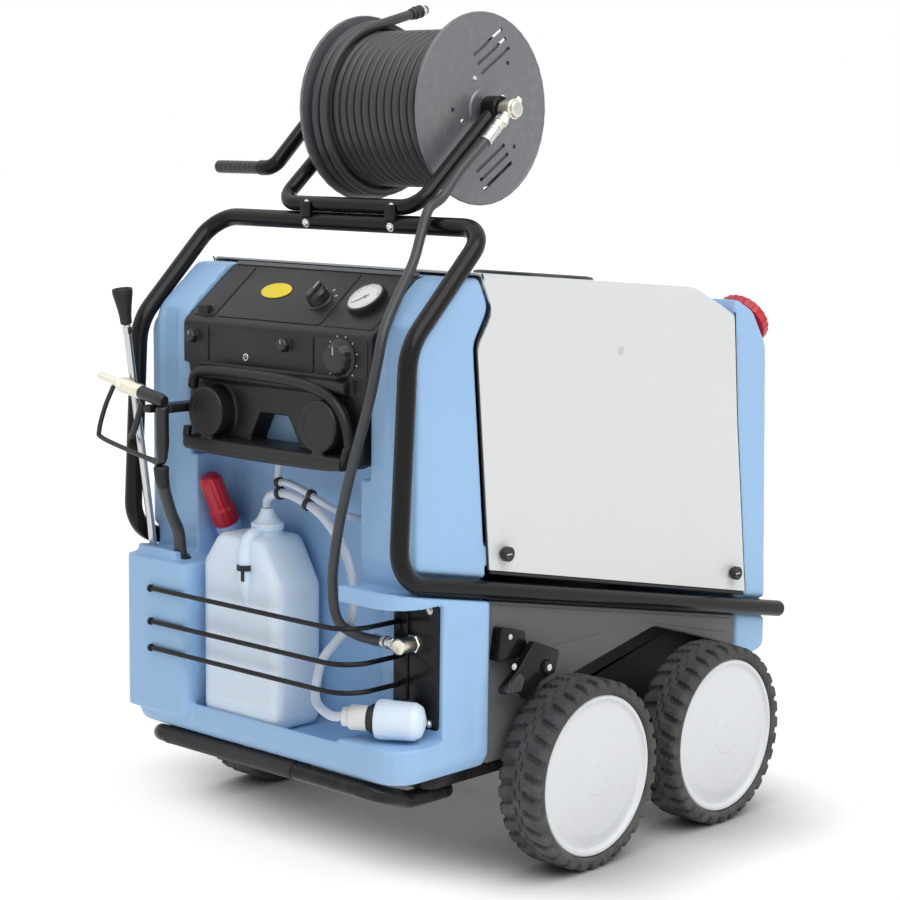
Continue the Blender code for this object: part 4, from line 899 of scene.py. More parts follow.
def make_hoses():
    """Feed, suction, level and gun hoses, the hose wound on the reel, and what is on them."""
    feed = feed_route()
    collars = []
    for start, way in ((feed[0], unit(feed[1] - feed[0])), (feed[-1], unit(feed[-2] - feed[-1]))):
        collars.append(turned([
            (8.2, 0), (10.4, 0, 0.6), (10.4, 6, 0.4), (9.6, 8, 0.4), (9.6, 24, 0.4),
            (10.4, 26, 0.4), (10.4, 31, 0.6), (8.2, 31)], start + way * 1, way, 32, ring=True))
    ferrules = piece("feed_hose_ferrules", bright_steel=collars)
    hose(
        "pressure_feed_hose", "feed_hose", feed, 8, "hose_rubber", stiffness="stiff",
        with_pieces=[ferrules])
    suction = suction_route()
    upper = flowing([
        (4, -497.5, 653), (2, -498, 632), (3, -499, 615.5), (26, -500, 616.5), (71, -500, 606),
        (112, -490, 586), (139, -462, 570), (148, -430.8, 566)], 5)
    clips = []
    for index in (nearest(suction, spot) for spot in ((6, -500, 598), (71, -500, 589))):
        way = unit(suction[index + 1] - suction[index - 1])
        other = upper[nearest(upper, suction[index])]
        clips.append(turned(band(7.7, 10.5, 4, 0.8), suction[index], way, 28, ring=True))
        clips.append(turned(band(6.2, 8.8, 4, 0.8), other, way, 28, ring=True))
        middle = (other + suction[index]) / 2
        clips.append(block(middle - (4, 3.5, 4.5), middle + (4, 3.5, 4.5), 1, 1))
    clips = piece("hose_clips", seal_rubber=clips)
    hose("suction_hose_clear", "suction_hose", suction, 7.5, "clear_hose", with_pieces=[clips])
    hose("return_hose_clear", None, upper, 6, "clear_hose")
    gun = gun_hose_route()
    boot = carried(gun[:7], np.linspace(12.8, 10.6, 7), 24)
    boot = piece("gun_hose_boot", body="gun", seal_rubber=[boot])
    hose("gun_supply_hose", "gun_hose", gun, 10, "hose_rubber", with_pieces=[boot])
    wound = winding_route()
    way = unit(wound[-1] - wound[-2])
    seat = wound[-1] + way * TOUCH
    sleeve = turned([
        (0, 0), (9.5, 0, 0.6), (9.5, 8, 0.6), (10.9, 9.5, 0.6), (10.9, 13.5, 0.6),
        (9.8, 14.5, 0.4), (9.8, 19.5, 0.4), (10.9, 20.5, 0.6), (10.9, 24.5, 0.6), (8.8, 26, 0.6)],
        seat, way, 36)
    nut = turned([(8.8, 26), (9.8, 26.2, 0.6), (9.8, 33, 0.8), (7.8, 34, 0.4)], seat, way, 6)
    mouth = turned([(7.8, 34), (7.8, 38, 0.6), (5.2, 38, 0.4), (5.2, 30), (0, 30)], seat, way, 36)
    end = piece(
        "hose_end_coupling", "hose_end_fitting", dark_steel=[sleeve, mouth], bright_steel=[nut])
    hose(
        "wound_hose", "hose_winding", wound, 8.1, "hose_rubber", far_end="fitting", lay="coiled",
        with_pieces=[end], sides=14)


# --- wheels and chassis
def tyre(side, y, depth, blocks):
    """A tyre: the section's closed profile turned round the axle, with the surface of its tread
    and shoulders sunk by d g(a, s), g being 1 in a groove and 0 on a block."""
    profile = rounded([
        (131.3, 38.5), (134.5, 42.5, 2), (142.5, 43, 3), (150.5, 40, 4), (153, 33, 3),
        (153, -33, 3), (150.5, -40, 4), (142.5, -43, 3), (134.5, -42.5, 2), (131.3, -38.5)], 4)
    profile = np.concatenate((spaced(profile, 2.3), [(131.3, -20), (131.3, 20)]))
    tangent = unit(np.roll(profile, -1, 0) - np.roll(profile, 1, 0))
    normal = np.stack((-tangent[:, 1], tangent[:, 0]), axis=1)
    normal *= np.sign(normal[len(profile) // 2 - 1, 0])
    count = blocks * 12
    angle = np.linspace(0, 2 * math.pi, count, endpoint=False)[None, :]
    across = profile[:, 1:]
    reach = np.abs(across)
    turn = angle * blocks / (2 * math.pi) + np.where(across > 0, 0.5, 0) + reach * 0.009
    gap = np.abs(turn % 1.0 - 0.5)
    lug = eased(gap, 0.15, 0.21)
    outer = eased(reach, 8.5, 12) * eased(profile[:, :1], 137.5, 144)
    groove = (1 - lug) * outer
    centre_turn = angle * blocks / (2 * math.pi)
    line = np.abs(across - 4.5 * np.sign(np.sin(centre_turn * 2 * math.pi)))
    groove = np.maximum(groove, (1 - eased(line, 1.2, 2.6)) * 0.8)
    sunk = groove * depth * eased(profile[:, :1], 136, 143)
    radius = profile[:, :1] - sunk * np.abs(normal[:, :1])
    height = profile[:, 1:] - sunk * normal[:, 1:] * 0.55
    centre = np.array((side * WHEEL_X, y, WHEEL_RADIUS))
    points = centre + np.stack((
        side * height * np.ones_like(angle), radius * np.sin(angle), radius * np.cos(angle)),
        axis=-1)
    return points.reshape(-1, 3), [grid_faces(len(profile), count, True, True)]


def make_tyres():
    """The four tyres with their tread."""
    sizes = bpy.context.scene.washer_sizes
    for name, side, y in WHEELS:
        surface = tyre(side, y, sizes.tread_depth / MM, sizes.tread_blocks)
        piece(f"{name}_tyre_tread", f"tyre_{name}", crease=28, tyre_rubber=[surface])


def make_discs():
    """Dished discs with a rolled lip, a faint hub step and ribs behind."""
    for name, side, y in WHEELS:
        centre = (side * WHEEL_X, y, WHEEL_RADIUS)
        way = (side, 0, 0)
        face = turned([
            (0, 39.5), (30, 39.3, 4), (31.5, 38.3, 2), (98, 36.2, 30), (119.5, 31.8, 6),
            (123.5, 38.2, 1.5), (128.5, 38.8, 1.8), (130.8, 35, 1.6), (130.8, -36, 1),
            (124.3, -36, 1), (124.3, 22, 4), (42, 28, 4), (30, 28, 3), (30, -40, 1.5),
            (11, -40, 1), (11, 27), (0, 27)], centre, way, 96, steps=5)
        ribs = []
        for angle in np.arange(8) * math.pi / 4:
            out = np.array((0, math.cos(angle), math.sin(angle)))
            corners = [(29.8, -30), (29.8, 27.9), (124.3, 22.5), (124.3, -12)]
            ribs.append(slab(corners, -2, 2, 0.4, centre, out, way, 1))
        piece(f"{name}_wheel_face", f"wheel_disc_{name}", crease=30, wheel_plastic=[face] + ribs)
    for axle in ("front_axle", "rear_axle"):
        refinish(axle, "bright_steel")


def make_chassis():
    """The chassis tray with its folded rim, the foot bar, dark liners and walls that stand in for
    the shade in the wheel arches, and bearings.
    """
    corners = [(-290, -455, 30), (290, -455, 30), (290, 375, 20), (-290, 375, 20)]
    tray = slab(corners, 163.5, 184.7, 4, steps=4)
    ribs = [block((x - 12, -420, 159.5), (x + 12, 350, 164), 1, 4) for x in (-200, 0, 200)]
    hangers = [
        along_x([(y - 30, 165, 3), (y + 30, 165, 3), (y + 16, 140, 12), (y - 16, 140, 12)],
                x - 4, x + 4, 1) for y in (-AXLE_Y, AXLE_Y) for x in (-255, 255)]
    piece("chassis_pan", "chassis_tray", chassis_steel=[tray] + ribs + hangers)
    under = 163.5 - 14.3
    right = [(262, -380, under, 0), (262, -470, under, 50), (262, -535, 172, 35)]
    bar = carried(spaced(rounded(both_sides(right), 12), 6), 14, 24)
    half, bead = 152, 6
    sleeve = turned([
        (13.6, -half), (15.1, -half, 0.8), (15.1, bead - half, 0.6), (14.7, bead - half, 0.4),
        (14.7, half - bead, 0.4), (15.1, half - bead, 0.6), (15.1, half, 0.8), (13.6, half)],
        (-70, -535, 172), X_AXIS, 32, ring=True)
    piece("front_foot_bar", "foot_bar", chassis_steel=[bar], seal_rubber=[sleeve])
    # Painted shade: the arch liners and the walls inside them are dark sheets put in the wheel
    # arches, where there is only shade, so that nothing pale shows through.
    arch = spaced(rounded([
        (-325, 186), (-250, 187, 20), (-150, 296, 60), (95, 346, 50), (318, 276, 20),
        (320, 250)], 8), 12)
    for side, label in SIDES[::-1]:
        xs = side * np.array((222.5, 285.5))
        ring = np.concatenate((arch, (arch + (0, 3))[::-1]))
        points = np.stack([np.column_stack((np.full(len(ring), x), ring)) for x in xs])
        count = len(ring)
        faces = [
            grid_faces(2, count, False, True), np.arange(count)[None],
            (count + np.arange(count))[None]]
        wall = [(y, z) for y, z in arch] + [(318, 187), (-240, 187)]
        wall = along_x(wall, *sorted((side * 220.5, side * 223.5)), 0.5)
        piece(f"arch_shade_liner_{label}", seal_rubber=[(points.reshape(-1, 3), faces), wall])


def run_height(y):
    """The height of the frame tube's lower run along the sides."""
    return 401.6 - RUN_SLOPE * y


def make_frame():
    """The handle frame: a tube along the sides, up the front legs and over the bow."""
    right = [
        (FRAME_HALF, 450, run_height(450), 0), (FRAME_HALF, -541, run_height(-541), 60),
        (FRAME_HALF, -523, 850, 90), (FRAME_HALF, *BOW, 50)]
    tube = carried(spaced(rounded(both_sides(right), 14), 8), FRAME_TUBE, 28)
    plugs, bolts = [], []
    way = unit((0, 1.0, -RUN_SLOPE))
    for side in (-1, 1):
        end = np.array((side * FRAME_HALF, 450, run_height(450)))
        plugs.append(turned(
            [(0, 3), (9, 2.8, 2), (13.2, 1, 1), (13.2, -4)], end - way * 2.4, way, 32))
    for x in (-76, 114):
        bolts += screw_head((x, BOW[0] - FRAME_TUBE * 0.92, BOW[1] - 4), (0, -1, -0.25), 5.5)
    piece(
        "push_frame", "handle_frame", chassis_steel=[tube], knob_plastic=plugs, bright_steel=bolts)


# --- bodies, hood and panels
def front_relief(spots):
    """Shallow hollows in the front moulding: d = -y or +x times eased windows of the place."""
    x, y, z = spots.T
    moved = spots.copy()
    face = eased(-y, 490, 498) * (z > 530)
    for middle in (-259, 259):
        flute = eased(24 - np.abs(x - middle), 0, 12)
        moved[:, 1] += 4 * flute * face * eased(z, 560, 600) * eased(-z, -900, -860)
    side = eased(np.abs(x), 315.5, 317)
    flat = (eased(z, 215, 235) * eased(420 - z, 0, 20) * eased(y, -500, -480)
            * eased(-365 - y, 0, 20))
    moved[:, 0] -= np.sign(x) * 2.2 * side * flat
    return moved


def rear_relief(spots):
    """A shallow panel with level louvres in the rear face, sunk along -Y."""
    x, y, z = spots.T
    moved = spots.copy()
    back = eased(y, 380, 388)
    window = eased(235 - np.abs(x), 0, 12) * eased(z, 355, 367) * eased(760 - z, 0, 12)
    louvre = eased(180 - np.abs(x), 0, 12) * eased(z, 400, 408) * eased(560 - z, 0, 8)
    wave = 0.5 + 0.5 * np.cos(2 * math.pi * (z - 400) / 20)
    moved[:, 1] -= back * (3 * window + 5 * louvre * wave)
    return moved


def make_bodies():
    """The two body mouldings, and a ring on each of the holster's bores."""
    lattice = bpy.context.scene.washer_sizes.moulding_lattice / MM
    softened("front_moulding", "front_body", "blue_body", lattice, 5, front_relief)
    softened("rear_moulding", "rear_body", "blue_body", lattice * 1.2, 12, rear_relief)
    bores = ((gun_hose_point(470.2), 12.5, 16.5), ((-277, -519, 470.2), 7.8, 12.5))
    rings = [turned(
        [(inner, 0), (outer, 0, 0.8), (outer - 1, 2.8, 1), (inner, 2.8, 1)], spot, Z_AXIS, 36,
        ring=True) for spot, inner, outer in bores]
    piece("holster_bore_rings", seal_rubber=rings)


def hood_top(y):
    """The height of the hood's top."""
    return 952 - HOOD_FALL * (y + 361)


def make_hood():
    """A bent sheet: a side is the patch between its four edge curves, and the section
    P(f) = (half - r + r sin f, z - r + r cos f) carries it over the edge on to the top."""
    half, radius = HOOD_HALF, 12
    low_front = run_height(-338) + FRAME_TUBE + 17
    low_rear = run_height(342) + FRAME_TUBE + 13
    count, rows = 96, 40
    crown = rounded([(-361, hood_top(-361)), (185, hood_top(185), 100), (288, 862)], 16)
    front = rounded([(-361, 952), (-338, 900, 30), (-372, 845, 30), (-338, low_front)], 10)
    rear = rounded([(288, 862), (304, 674, 100), (342, low_rear)], 10)
    lower = np.array([(-338, low_front), (342, low_rear)])

    def sampled(path, number):
        return spaced(path, path_length(path) / (number - 1))[:number]

    top, bottom = sampled(crown, count), sampled(lower, count)
    ahead, behind = sampled(front, rows), sampled(rear, rows)
    v = np.linspace(0, 1, rows)[:, None, None]
    u = np.linspace(0, 1, count)[None, :, None]
    patch = ((1 - v) * top + v * bottom + (1 - u) * ahead[:, None] + u * behind[:, None]
             - (1 - u) * (1 - v) * top[0] - u * (1 - v) * top[-1]
             - (1 - u) * v * bottom[0] - u * v * bottom[-1])
    side_z = patch[..., 1] - radius * (1 - v[:, :, 0]) ** 3
    side = np.stack((np.full(side_z.shape, half), patch[..., 0], side_z), axis=-1)
    angle = np.linspace(math.pi / 2, 0, 9)[1:, None]
    inwards = np.linspace(half - radius, 0, 16)[1:, None]
    over, flat = (np.stack(np.broadcast_arrays(x, top[:, 0], z), axis=-1) for x, z in (
        (half - radius + radius * np.sin(angle), top[:, 1] - radius + radius * np.cos(angle)),
        (inwards, top[:, 1])))
    right = np.concatenate((side[::-1], over, flat))
    left = right[::-1][1:] * (-1, 1, 1)
    sheet = np.concatenate((right, left))
    surface = (sheet.reshape(-1, 3), [grid_faces(len(sheet), count)])
    hood = piece("hood_shell", "hood", crease=30, white_sheet=[surface])
    centre = sheet.reshape(-1, 3).mean(0) * MM + SHIFT
    normals = np.array([p.normal @ (p.center - Vector(centre)) for p in hood.data.polygons])
    if normals.mean() < 0:
        hood.data.flip_normals()
    wall = hood.modifiers.new("sheet", "SOLIDIFY")
    wall.thickness = bpy.context.scene.washer_sizes.sheet_metal
    wall.offset = -1
    wall.use_even_offset = True
    cutter = bpy.data.meshes.new("flue_cutter")
    flue_radius, below, above = 85, 700, 1100
    spots, faces = turned(rect(0, flue_radius, above, below), (0, 110, 0), Z_AXIS, 64)
    cutter.from_pydata((spots * MM + SHIFT).tolist(), [], faces[0].tolist())
    clean(cutter)
    tool = bpy.data.objects.new("flue_cutter", cutter)
    bpy.context.scene.collection.objects.link(tool)
    hole = hood.modifiers.new("flue", "BOOLEAN")
    hole.object = tool
    hole.solver = "EXACT"
    mesh = evaluated(hood)
    hood.modifiers.clear()
    bpy.data.objects.remove(tool)
    hood.data = mesh
    mesh.name = "hood_shell"
    smooth_shading(mesh, 30)
    seals = []
    for side in (-1, 1):
        for line in (sampled(front, 60) - (2.2, 0), sampled(rear, 60) + (2.2, 0)):
            line = np.column_stack((np.full(len(line), side * 304.6), line))
            seals.append(carried(line, 1.3, 8))
        strip = spaced(np.array([
            (side * 303, -336, low_front - 4), (side * 303, 340, low_rear - 4)]), 20)
        seals.append(carried(strip, 3.2, 10))
    piece("hood_edge_seals", seal_rubber=seals)


def make_hood_fittings():
    """The flue ring, the four quarter-turn knobs and a blind rivet on each side sheet."""
    normal = unit((0, HOOD_FALL, 1))
    seat = np.array((0, 110, hood_top(110))) + normal * TOUCH
    ring = turned([
        (86.1, 0), (106, 0, 0.8), (104.5, 4.2, 1.5), (94, 6, 2), (87, 6, 1.5), (86.1, 4, 1)], seat,
        normal, 96, ring=True, steps=5)
    piece("flue_ring", "exhaust_ring", dark_steel=[ring])

    def grips(radius, height, angle):
        return radius - 0.4 + 0.42 * np.cos(angle * 12) * (radius > 10) * (height > 4), height

    for side, label in SIDES:
        for place, y, z in (("front", -308, 518), ("rear", 300, 405)):
            spot = (side * (HOOD_HALF + TOUCH), y, z)
            grip = turned([
                (0, 14), (6, 14.2, 1), (9, 16, 1), (12, 15, 1.5), (12, 4.5, 1), (8, 3.5, 1),
                (8, 0)], spot, (side, 0, 0), 72, ripple=grips)
            slot = along_x(
                rect(y - 7.5, y + 7.5, z - 1, z + 1, 0.5), *sorted((side * 320, side * 320.8)),
                0.2)
            piece(
                f"hood_lock_{place}_{label}", f"hood_knob_{place}_{label}", knob_plastic=[grip],
                bright_steel=[slot])
    rivets = [turned(
        [(0, 1.6), (4.5, 1.5, 1), (7.5, 0.4, 0.4), (8, -0.4)], (side * 306.2, -25, 816),
        (side, 0, 0), 40) for side in (-1, 1)]
    piece("hood_rivets", white_mark=rivets)


def make_side_panels():
    """Grained panels below the frame tube: a slab with eased rims, a swage and a rolled flange."""
    outline = [
        (-331, 185, 4), (-250, 185, 6), (-146, 290, 60), (95, 342, 50), (325.5, 271, 6),
        (325.5, 323.9, 3), (-331, 445.3, 3)]
    lip = spaced(rounded([(-251, 187), (-146, 291.5, 58), (95, 343.5, 50), (322, 274.5)], 10), 6)
    for side, label in SIDES:
        sheet = along_x(outline, *sorted((side * 286, side * 297)), 2.5, steps=4)
        swage = along_x([
            (-322, 345, 3), (60, 352, 3), (300, 296, 3), (316, 319.5, 3), (-322, 437.5, 3)],
            *sorted((side * 295.5, side * 298)), 1.2)
        flange = carried(np.column_stack((np.full(len(lip), side * 292.5), lip)), 4.5, 12)
        layers = {"dark_panel": [sheet, swage, flange]}
        if side > 0:
            stub = turned(
                [(0, 47.5), (4.8, 47.5, 0.6), (6, 46, 0.6), (6, 0)], (294.5, -232, 330), X_AXIS,
                32)
            layers["dial_plastic"] = [stub]
        piece(f"lower_side_panel_{label}", f"side_panel_{label}", **layers)


# --- console
def make_console():
    """The console moulding with its raised plates, gauge, knobs, lamp and hose rack, and a lighter
    strip along its crest that is a painted highlight.
    """
    softened("console_moulding", "console", "console_plastic", 2.6, 3, None, 0.4)

    def on_face(corners, low, high, x, share, edge=0.8):
        return slab(corners, low, high, edge, on_slope(x, share), X_AXIS, SLOPE_UP)

    def plate(left, right, low, high, rise, corner=6):
        return on_face(rect(left, right, low, high, corner), -1, rise, 0, 0, 0.7)

    plates, fronts = [], []
    for left, right, rise in ((-206, -152, 1.6), (-147, 90, 1.6), (95, 206, 1.2)):
        plates.append(plate(left, right, 14, 134, rise))
        wide = rect(left - (left < -200), right + (right > 200), 795, 851, 4)
        fronts.append(along_y(wide, CONSOLE_FACE - rise, CONSOLE_FACE + 1, 0.6))
    plates += fronts
    # The crest strip is a painted highlight: a band of the lighter grey panel finish along the
    # console's top edge, where the light catches it.
    crest = plate(-206, 206, 137, 145.5, 1.8, 3)
    badge = on_face(ellipse(33, 17.5), 1.4, 3, -60, 0.55)
    badge_rim = on_face(ellipse(36, 20.5), 0.8, 2.2, -60, 0.55)
    hinge = block((-190, -498, 860), (-168, -484, 883), 1.5)
    hole = turned([(0, 0.6), (4.2, 0.6, 0.3), (4.2, -1)], (-179, -498.4, 872), TO_FRONT, 24)
    marks = [on_face(spoke(angle, 25, 30.5, 1.2), 1.4, 2.2, 52, 0.45, 0.2)
             for angle in np.radians((-60, -20, 20, 60))]
    marks += [slab(spoke(angle, 32.2, 35.2, 0.8), 1, 1.8, 0.2, (152, CONSOLE_FACE, 822), X_AXIS,
                   Z_AXIS) for angle in np.radians(np.arange(-135, 136, 30))]
    lamp = turned(
        [(0, 3), (3, 2.6, 1), (4.2, 1, 0.4), (4.2, -1)], (-62, CONSOLE_FACE - 1.4, 808),
        TO_FRONT, 28)
    lamp_ring = turned(
        [(4.2, 0), (6.2, 0, 0.4), (5.8, 1.4, 0.4), (4.2, 1.4, 0.3)],
        (-62, CONSOLE_FACE - 1.2, 808), TO_FRONT, 28, ring=True)
    piece(
        "console_plates", console_plastic=plates + [badge_rim, hinge], yellow_plastic=[badge],
        white_mark=marks, lamp_lens=[lamp], bright_steel=[lamp_ring], seal_rubber=[hole],
        dark_panel=[crest])
    lip = flowing([
        (-176, -520.5, 752), (-168, -522.5, 772), (-140, -523.5, 782), (-60, -524, 784),
        (60, -524, 781), (130, -524, 768), (166, -523.5, 742), (182, -522.5, 706),
        (184, -521.5, 672)], 5)
    hubs, holes = [], []
    for x in (-128, 128):
        hubs.append(turned([
            (0, 46.2), (28, 46.2, 1), (30, 47.8, 1), (38.5, 47.8, 2), (40.2, 45, 2), (40.2, 38, 2),
            (37, 35, 2), (36.2, 0)], (x, -490, 718), TO_FRONT, 72))
        holes.append(turned([(0, 0.5), (4, 0.5, 0.2), (4, -1)], (x, -536.3, 718), TO_FRONT, 24))
    rim = flowing([
        (-183, -525.5, 690), (-178, -530, 668), (-150, -532, 659), (0, -533, 657),
        (150, -532, 659), (178, -530, 668), (183, -525.5, 690)], 6)
    piece(
        "hose_rack_rims", console_plastic=[carried(lip, 8.5, 18), carried(rim, 7, 16)] + hubs,
        seal_rubber=holes)
    spot = on_slope(52, 0.45, TOUCH)
    base = turned([
        (0, 22.5), (14.5, 22.5, 1.5), (17, 19, 2), (18.5, 4, 1), (21.2, 3, 0.8), (21.2, 0)], spot,
        SLOPE_NORMAL, 64)
    pointer = slab(
        [(-4, -17, 2), (4, -17, 2), (3, 18.5, 2.5), (-3, 18.5, 2.5)], 18, 27.5, 1.2, spot, X_AXIS,
        SLOPE_UP)
    line = slab(rect(-0.9, 0.9, 2, 16.5), 27, 27.9, 0.2, spot, X_AXIS, SLOPE_UP)
    piece("main_switch_grip", "main_switch", knob_plastic=[base, pointer], white_mark=[line])
    spot = on_slope(150, 0.5, TOUCH)
    case = turned([
        (29, 10), (29.6, 14.2, 0.6), (32.2, 14.2, 1.2), (33, 12, 1), (33, 0), (0, 0), (0, 9.5),
        (29, 9.5)], spot, SLOPE_NORMAL, 72, ring=True)
    dial = turned(rect(0, 29, 10.2, 9.4), spot, SLOPE_NORMAL, 64)
    glass = turned(
        [(0, 13.8), (20, 13.4, 4), (29.2, 12.6), (29.2, 11.8), (0, 12.6)], spot, SLOPE_NORMAL, 64)
    ticks = []
    for number, angle in enumerate(np.radians(np.linspace(-130, 130, 21))):
        wide, inner = (0.6, 19.5) if number % 5 == 0 else (0.3, 22)
        ticks.append(slab(
            spoke(angle, inner, 25, wide), 10.1, 10.6, 0.1, spot, X_AXIS, SLOPE_UP, 1))
    needle = slab(
        [(-14.2, -12.4, 0.3), (-12.6, -14, 0.3), (6.2, 4.8, 0.4), (4.6, 6.4, 0.4)], 10.8, 11.4,
        0.1, spot, X_AXIS, SLOPE_UP, 1)
    hub = turned([(0, 12), (2.2, 12, 0.4), (2.6, 10.4)], spot, SLOPE_NORMAL, 24)
    piece(
        "pressure_dial", "pressure_gauge", dial_plastic=[dial], knob_plastic=[case, needle, hub]
        + ticks, dial_glass=[glass])
    place = (152, CONSOLE_FACE - TOUCH, 822)
    heat = turned([
        (0, 20), (19, 20, 1.5), (23.2, 16, 2), (25.8, 4.5, 1), (30.5, 2.8, 0.8), (30.5, 0)], place,
        TO_FRONT, 96, ripple=fluted(12, 1.2, 21.5))
    mark = slab(rect(-1, 1, 6, 18), 19.6, 20.4, 0.2, place, X_AXIS, Z_AXIS)
    piece("temperature_dial", "temperature_knob", knob_plastic=[heat], white_mark=[mark])
    for name, node, x in (
            ("dosing_dial", "dosing_knob", 30), ("burner_dial", "burner_switch", -186)):
        place = (x, CONSOLE_FACE - TOUCH, 834)
        body = turned([
            (0, 14), (8.5, 14, 1), (10.5, 11, 1), (11, 2, 0.6), (12, 1.2, 0.4), (12, 0)], place,
            TO_FRONT, 72, ripple=fluted(9, 0.7, 9.5))
        mark = slab(rect(-0.8, 0.8, 2, 8), 13.6, 14.3, 0.2, place, X_AXIS, Z_AXIS)
        piece(name, node, knob_plastic=[body], white_mark=[mark])


# --- reel
def make_reel():
    """Flange rims and hub plates, the drum, the stand with its bearings, the crank and swivel."""
    for label, side in (("near", 1), ("far", -1)):
        refinish(f"reel_flange_{label}", "reel_sheet")
        centre = REEL_AXIS + (side * 129.5, 0, 0)
        angle = np.linspace(0, 2 * math.pi, 120, endpoint=False)
        circle = centre + np.stack((0 * angle, 151.3 * np.cos(angle), 151.3 * np.sin(angle)), 1)
        rim = carried(circle, 2.6, 10, loop=True)
        hub = turned(
            [(11.8, 4.6), (30, 4.6, 1), (33, 1.8, 1), (33, 0), (11.8, 0)], centre, (side, 0, 0),
            56, ring=True)
        bolts = []
        for turn in np.arange(4) * math.pi / 2 + 0.4:
            spot = centre + (side * 2, 52 * math.cos(turn), 52 * math.sin(turn))
            bolts.append(turned(
                [(0, 3), (3, 2.6, 1), (4.2, 0.2, 0.3), (4.2, -0.8)], spot, (side, 0, 0), 20))
        piece(f"flange_rim_{label}", body="reel", reel_sheet=[rim, hub], bright_steel=bolts)
    refinish("reel_drum", "reel_sheet")
    axis, bar = REEL_AXIS[1:], STAND_BAR[1:]
    points = [(158, *axis, 0), (158, *bar, 35), (-150, *bar, 35), (-150, *axis, 0)]
    tube = carried(spaced(rounded(points, 12), 6), 12.5, 26)
    bearings, nuts = [], []
    for x in (158, -150):
        bearings.append(turned([
            (11.5, 14.5), (19.5, 14.5, 1), (21, 13, 1), (21, -13, 1), (19.5, -14.5, 1),
            (11.5, -14.5)], REEL_AXIS + (x, 0, 0), X_AXIS, 48, ring=True))
    for x in (-76, 114):
        nuts += screw_head((x, bar[0] - 11.8, bar[1] + 1), (0, -1, 0.1), 4.5)
        bearings.append(block(
            (x - 11, bar[0] - 16, BOW[1] + 6), (x + 11, bar[0] - 9.5, bar[1] + 4), 1, 1))
    piece("reel_stand_tube", "reel_stand", chassis_steel=[tube] + bearings, bright_steel=nuts)
    hub = turned(
        [(0, 14), (16.5, 14, 1), (19, 12, 1), (19, -12, 1), (17, -13.5, 1), (0, -13.5)],
        (-247, *axis), X_AXIS, 48)
    lean, arm_length = math.radians(43.6), 145
    elbow = axis - arm_length * np.array((math.cos(lean), math.sin(lean)))
    arm = carried(
        spaced(rounded([(-247, *axis, 0), (-247, *elbow, 18), (-281, *elbow, 0)], 12), 5), 13, 26)
    screw = screw_head((-260.8, *axis), (-1, 0, 0), 6)
    piece("crank_lever", "crank_arm", chassis_steel=[hub, arm], bright_steel=screw)

    def grooves(radius, height, angle):
        cut = (np.abs(radius - 11) < 0.4) * (np.cos(height * 2 * math.pi / 12) > 0.6)
        return radius - 0.6 * cut, height

    rows = [(11, h) for h in np.arange(100, 3, -1.5)]
    grip = turned(
        [(0, 105.2), (7, 105, 3), (10.6, 103, 1)] + rows + [(11, 0.2), (0, 0.2)],
        (-281.5, *elbow), (-1, 0, 0), 40, ripple=grooves)
    piece("crank_grip_sleeve", "crank_grip", knob_plastic=[grip])
    root = REEL_AXIS + (SWIVEL_X, 0, 0)
    body = turned([
        (0, 30), (12, 30, 1), (13.5, 28.5, 1), (13.5, 24.5, 1), (16.5, 23.5, 1), (16.5, 8.5, 1),
        (14, 7.5, 1), (14, 0), (0, 0)], root, X_AXIS, 48)
    hexes = [turned([(0, 30.2), (11, 30, 0.8), (12.8, 29, 0.6), (12.8, 25.2)], root, X_AXIS, 6)]
    outlet = root + (15, 0, 0)
    neck = turned([
        (0, 46), (9.2, 46, 0.6), (9.2, 40, 0.4), (10.5, 39.5, 0.6), (10.5, 36, 0.6), (8, 35, 0.4),
        (8, 10), (0, 10)], outlet, ARM_WAY, 40)
    hexes.append(turned(
        [(8, 34.5), (11.2, 34, 0.6), (11.2, 22.5, 0.6), (8, 22)], outlet, ARM_WAY, 6))
    stem = turned(
        [(0, 25), (6, 25, 0.8), (7.5, 23.5, 0.6), (7.5, 10), (0, 10)], outlet, -ARM_WAY, 6)
    piece("reel_swivel", "hose_swivel", brass=[body, neck, stem], bright_steel=hexes)


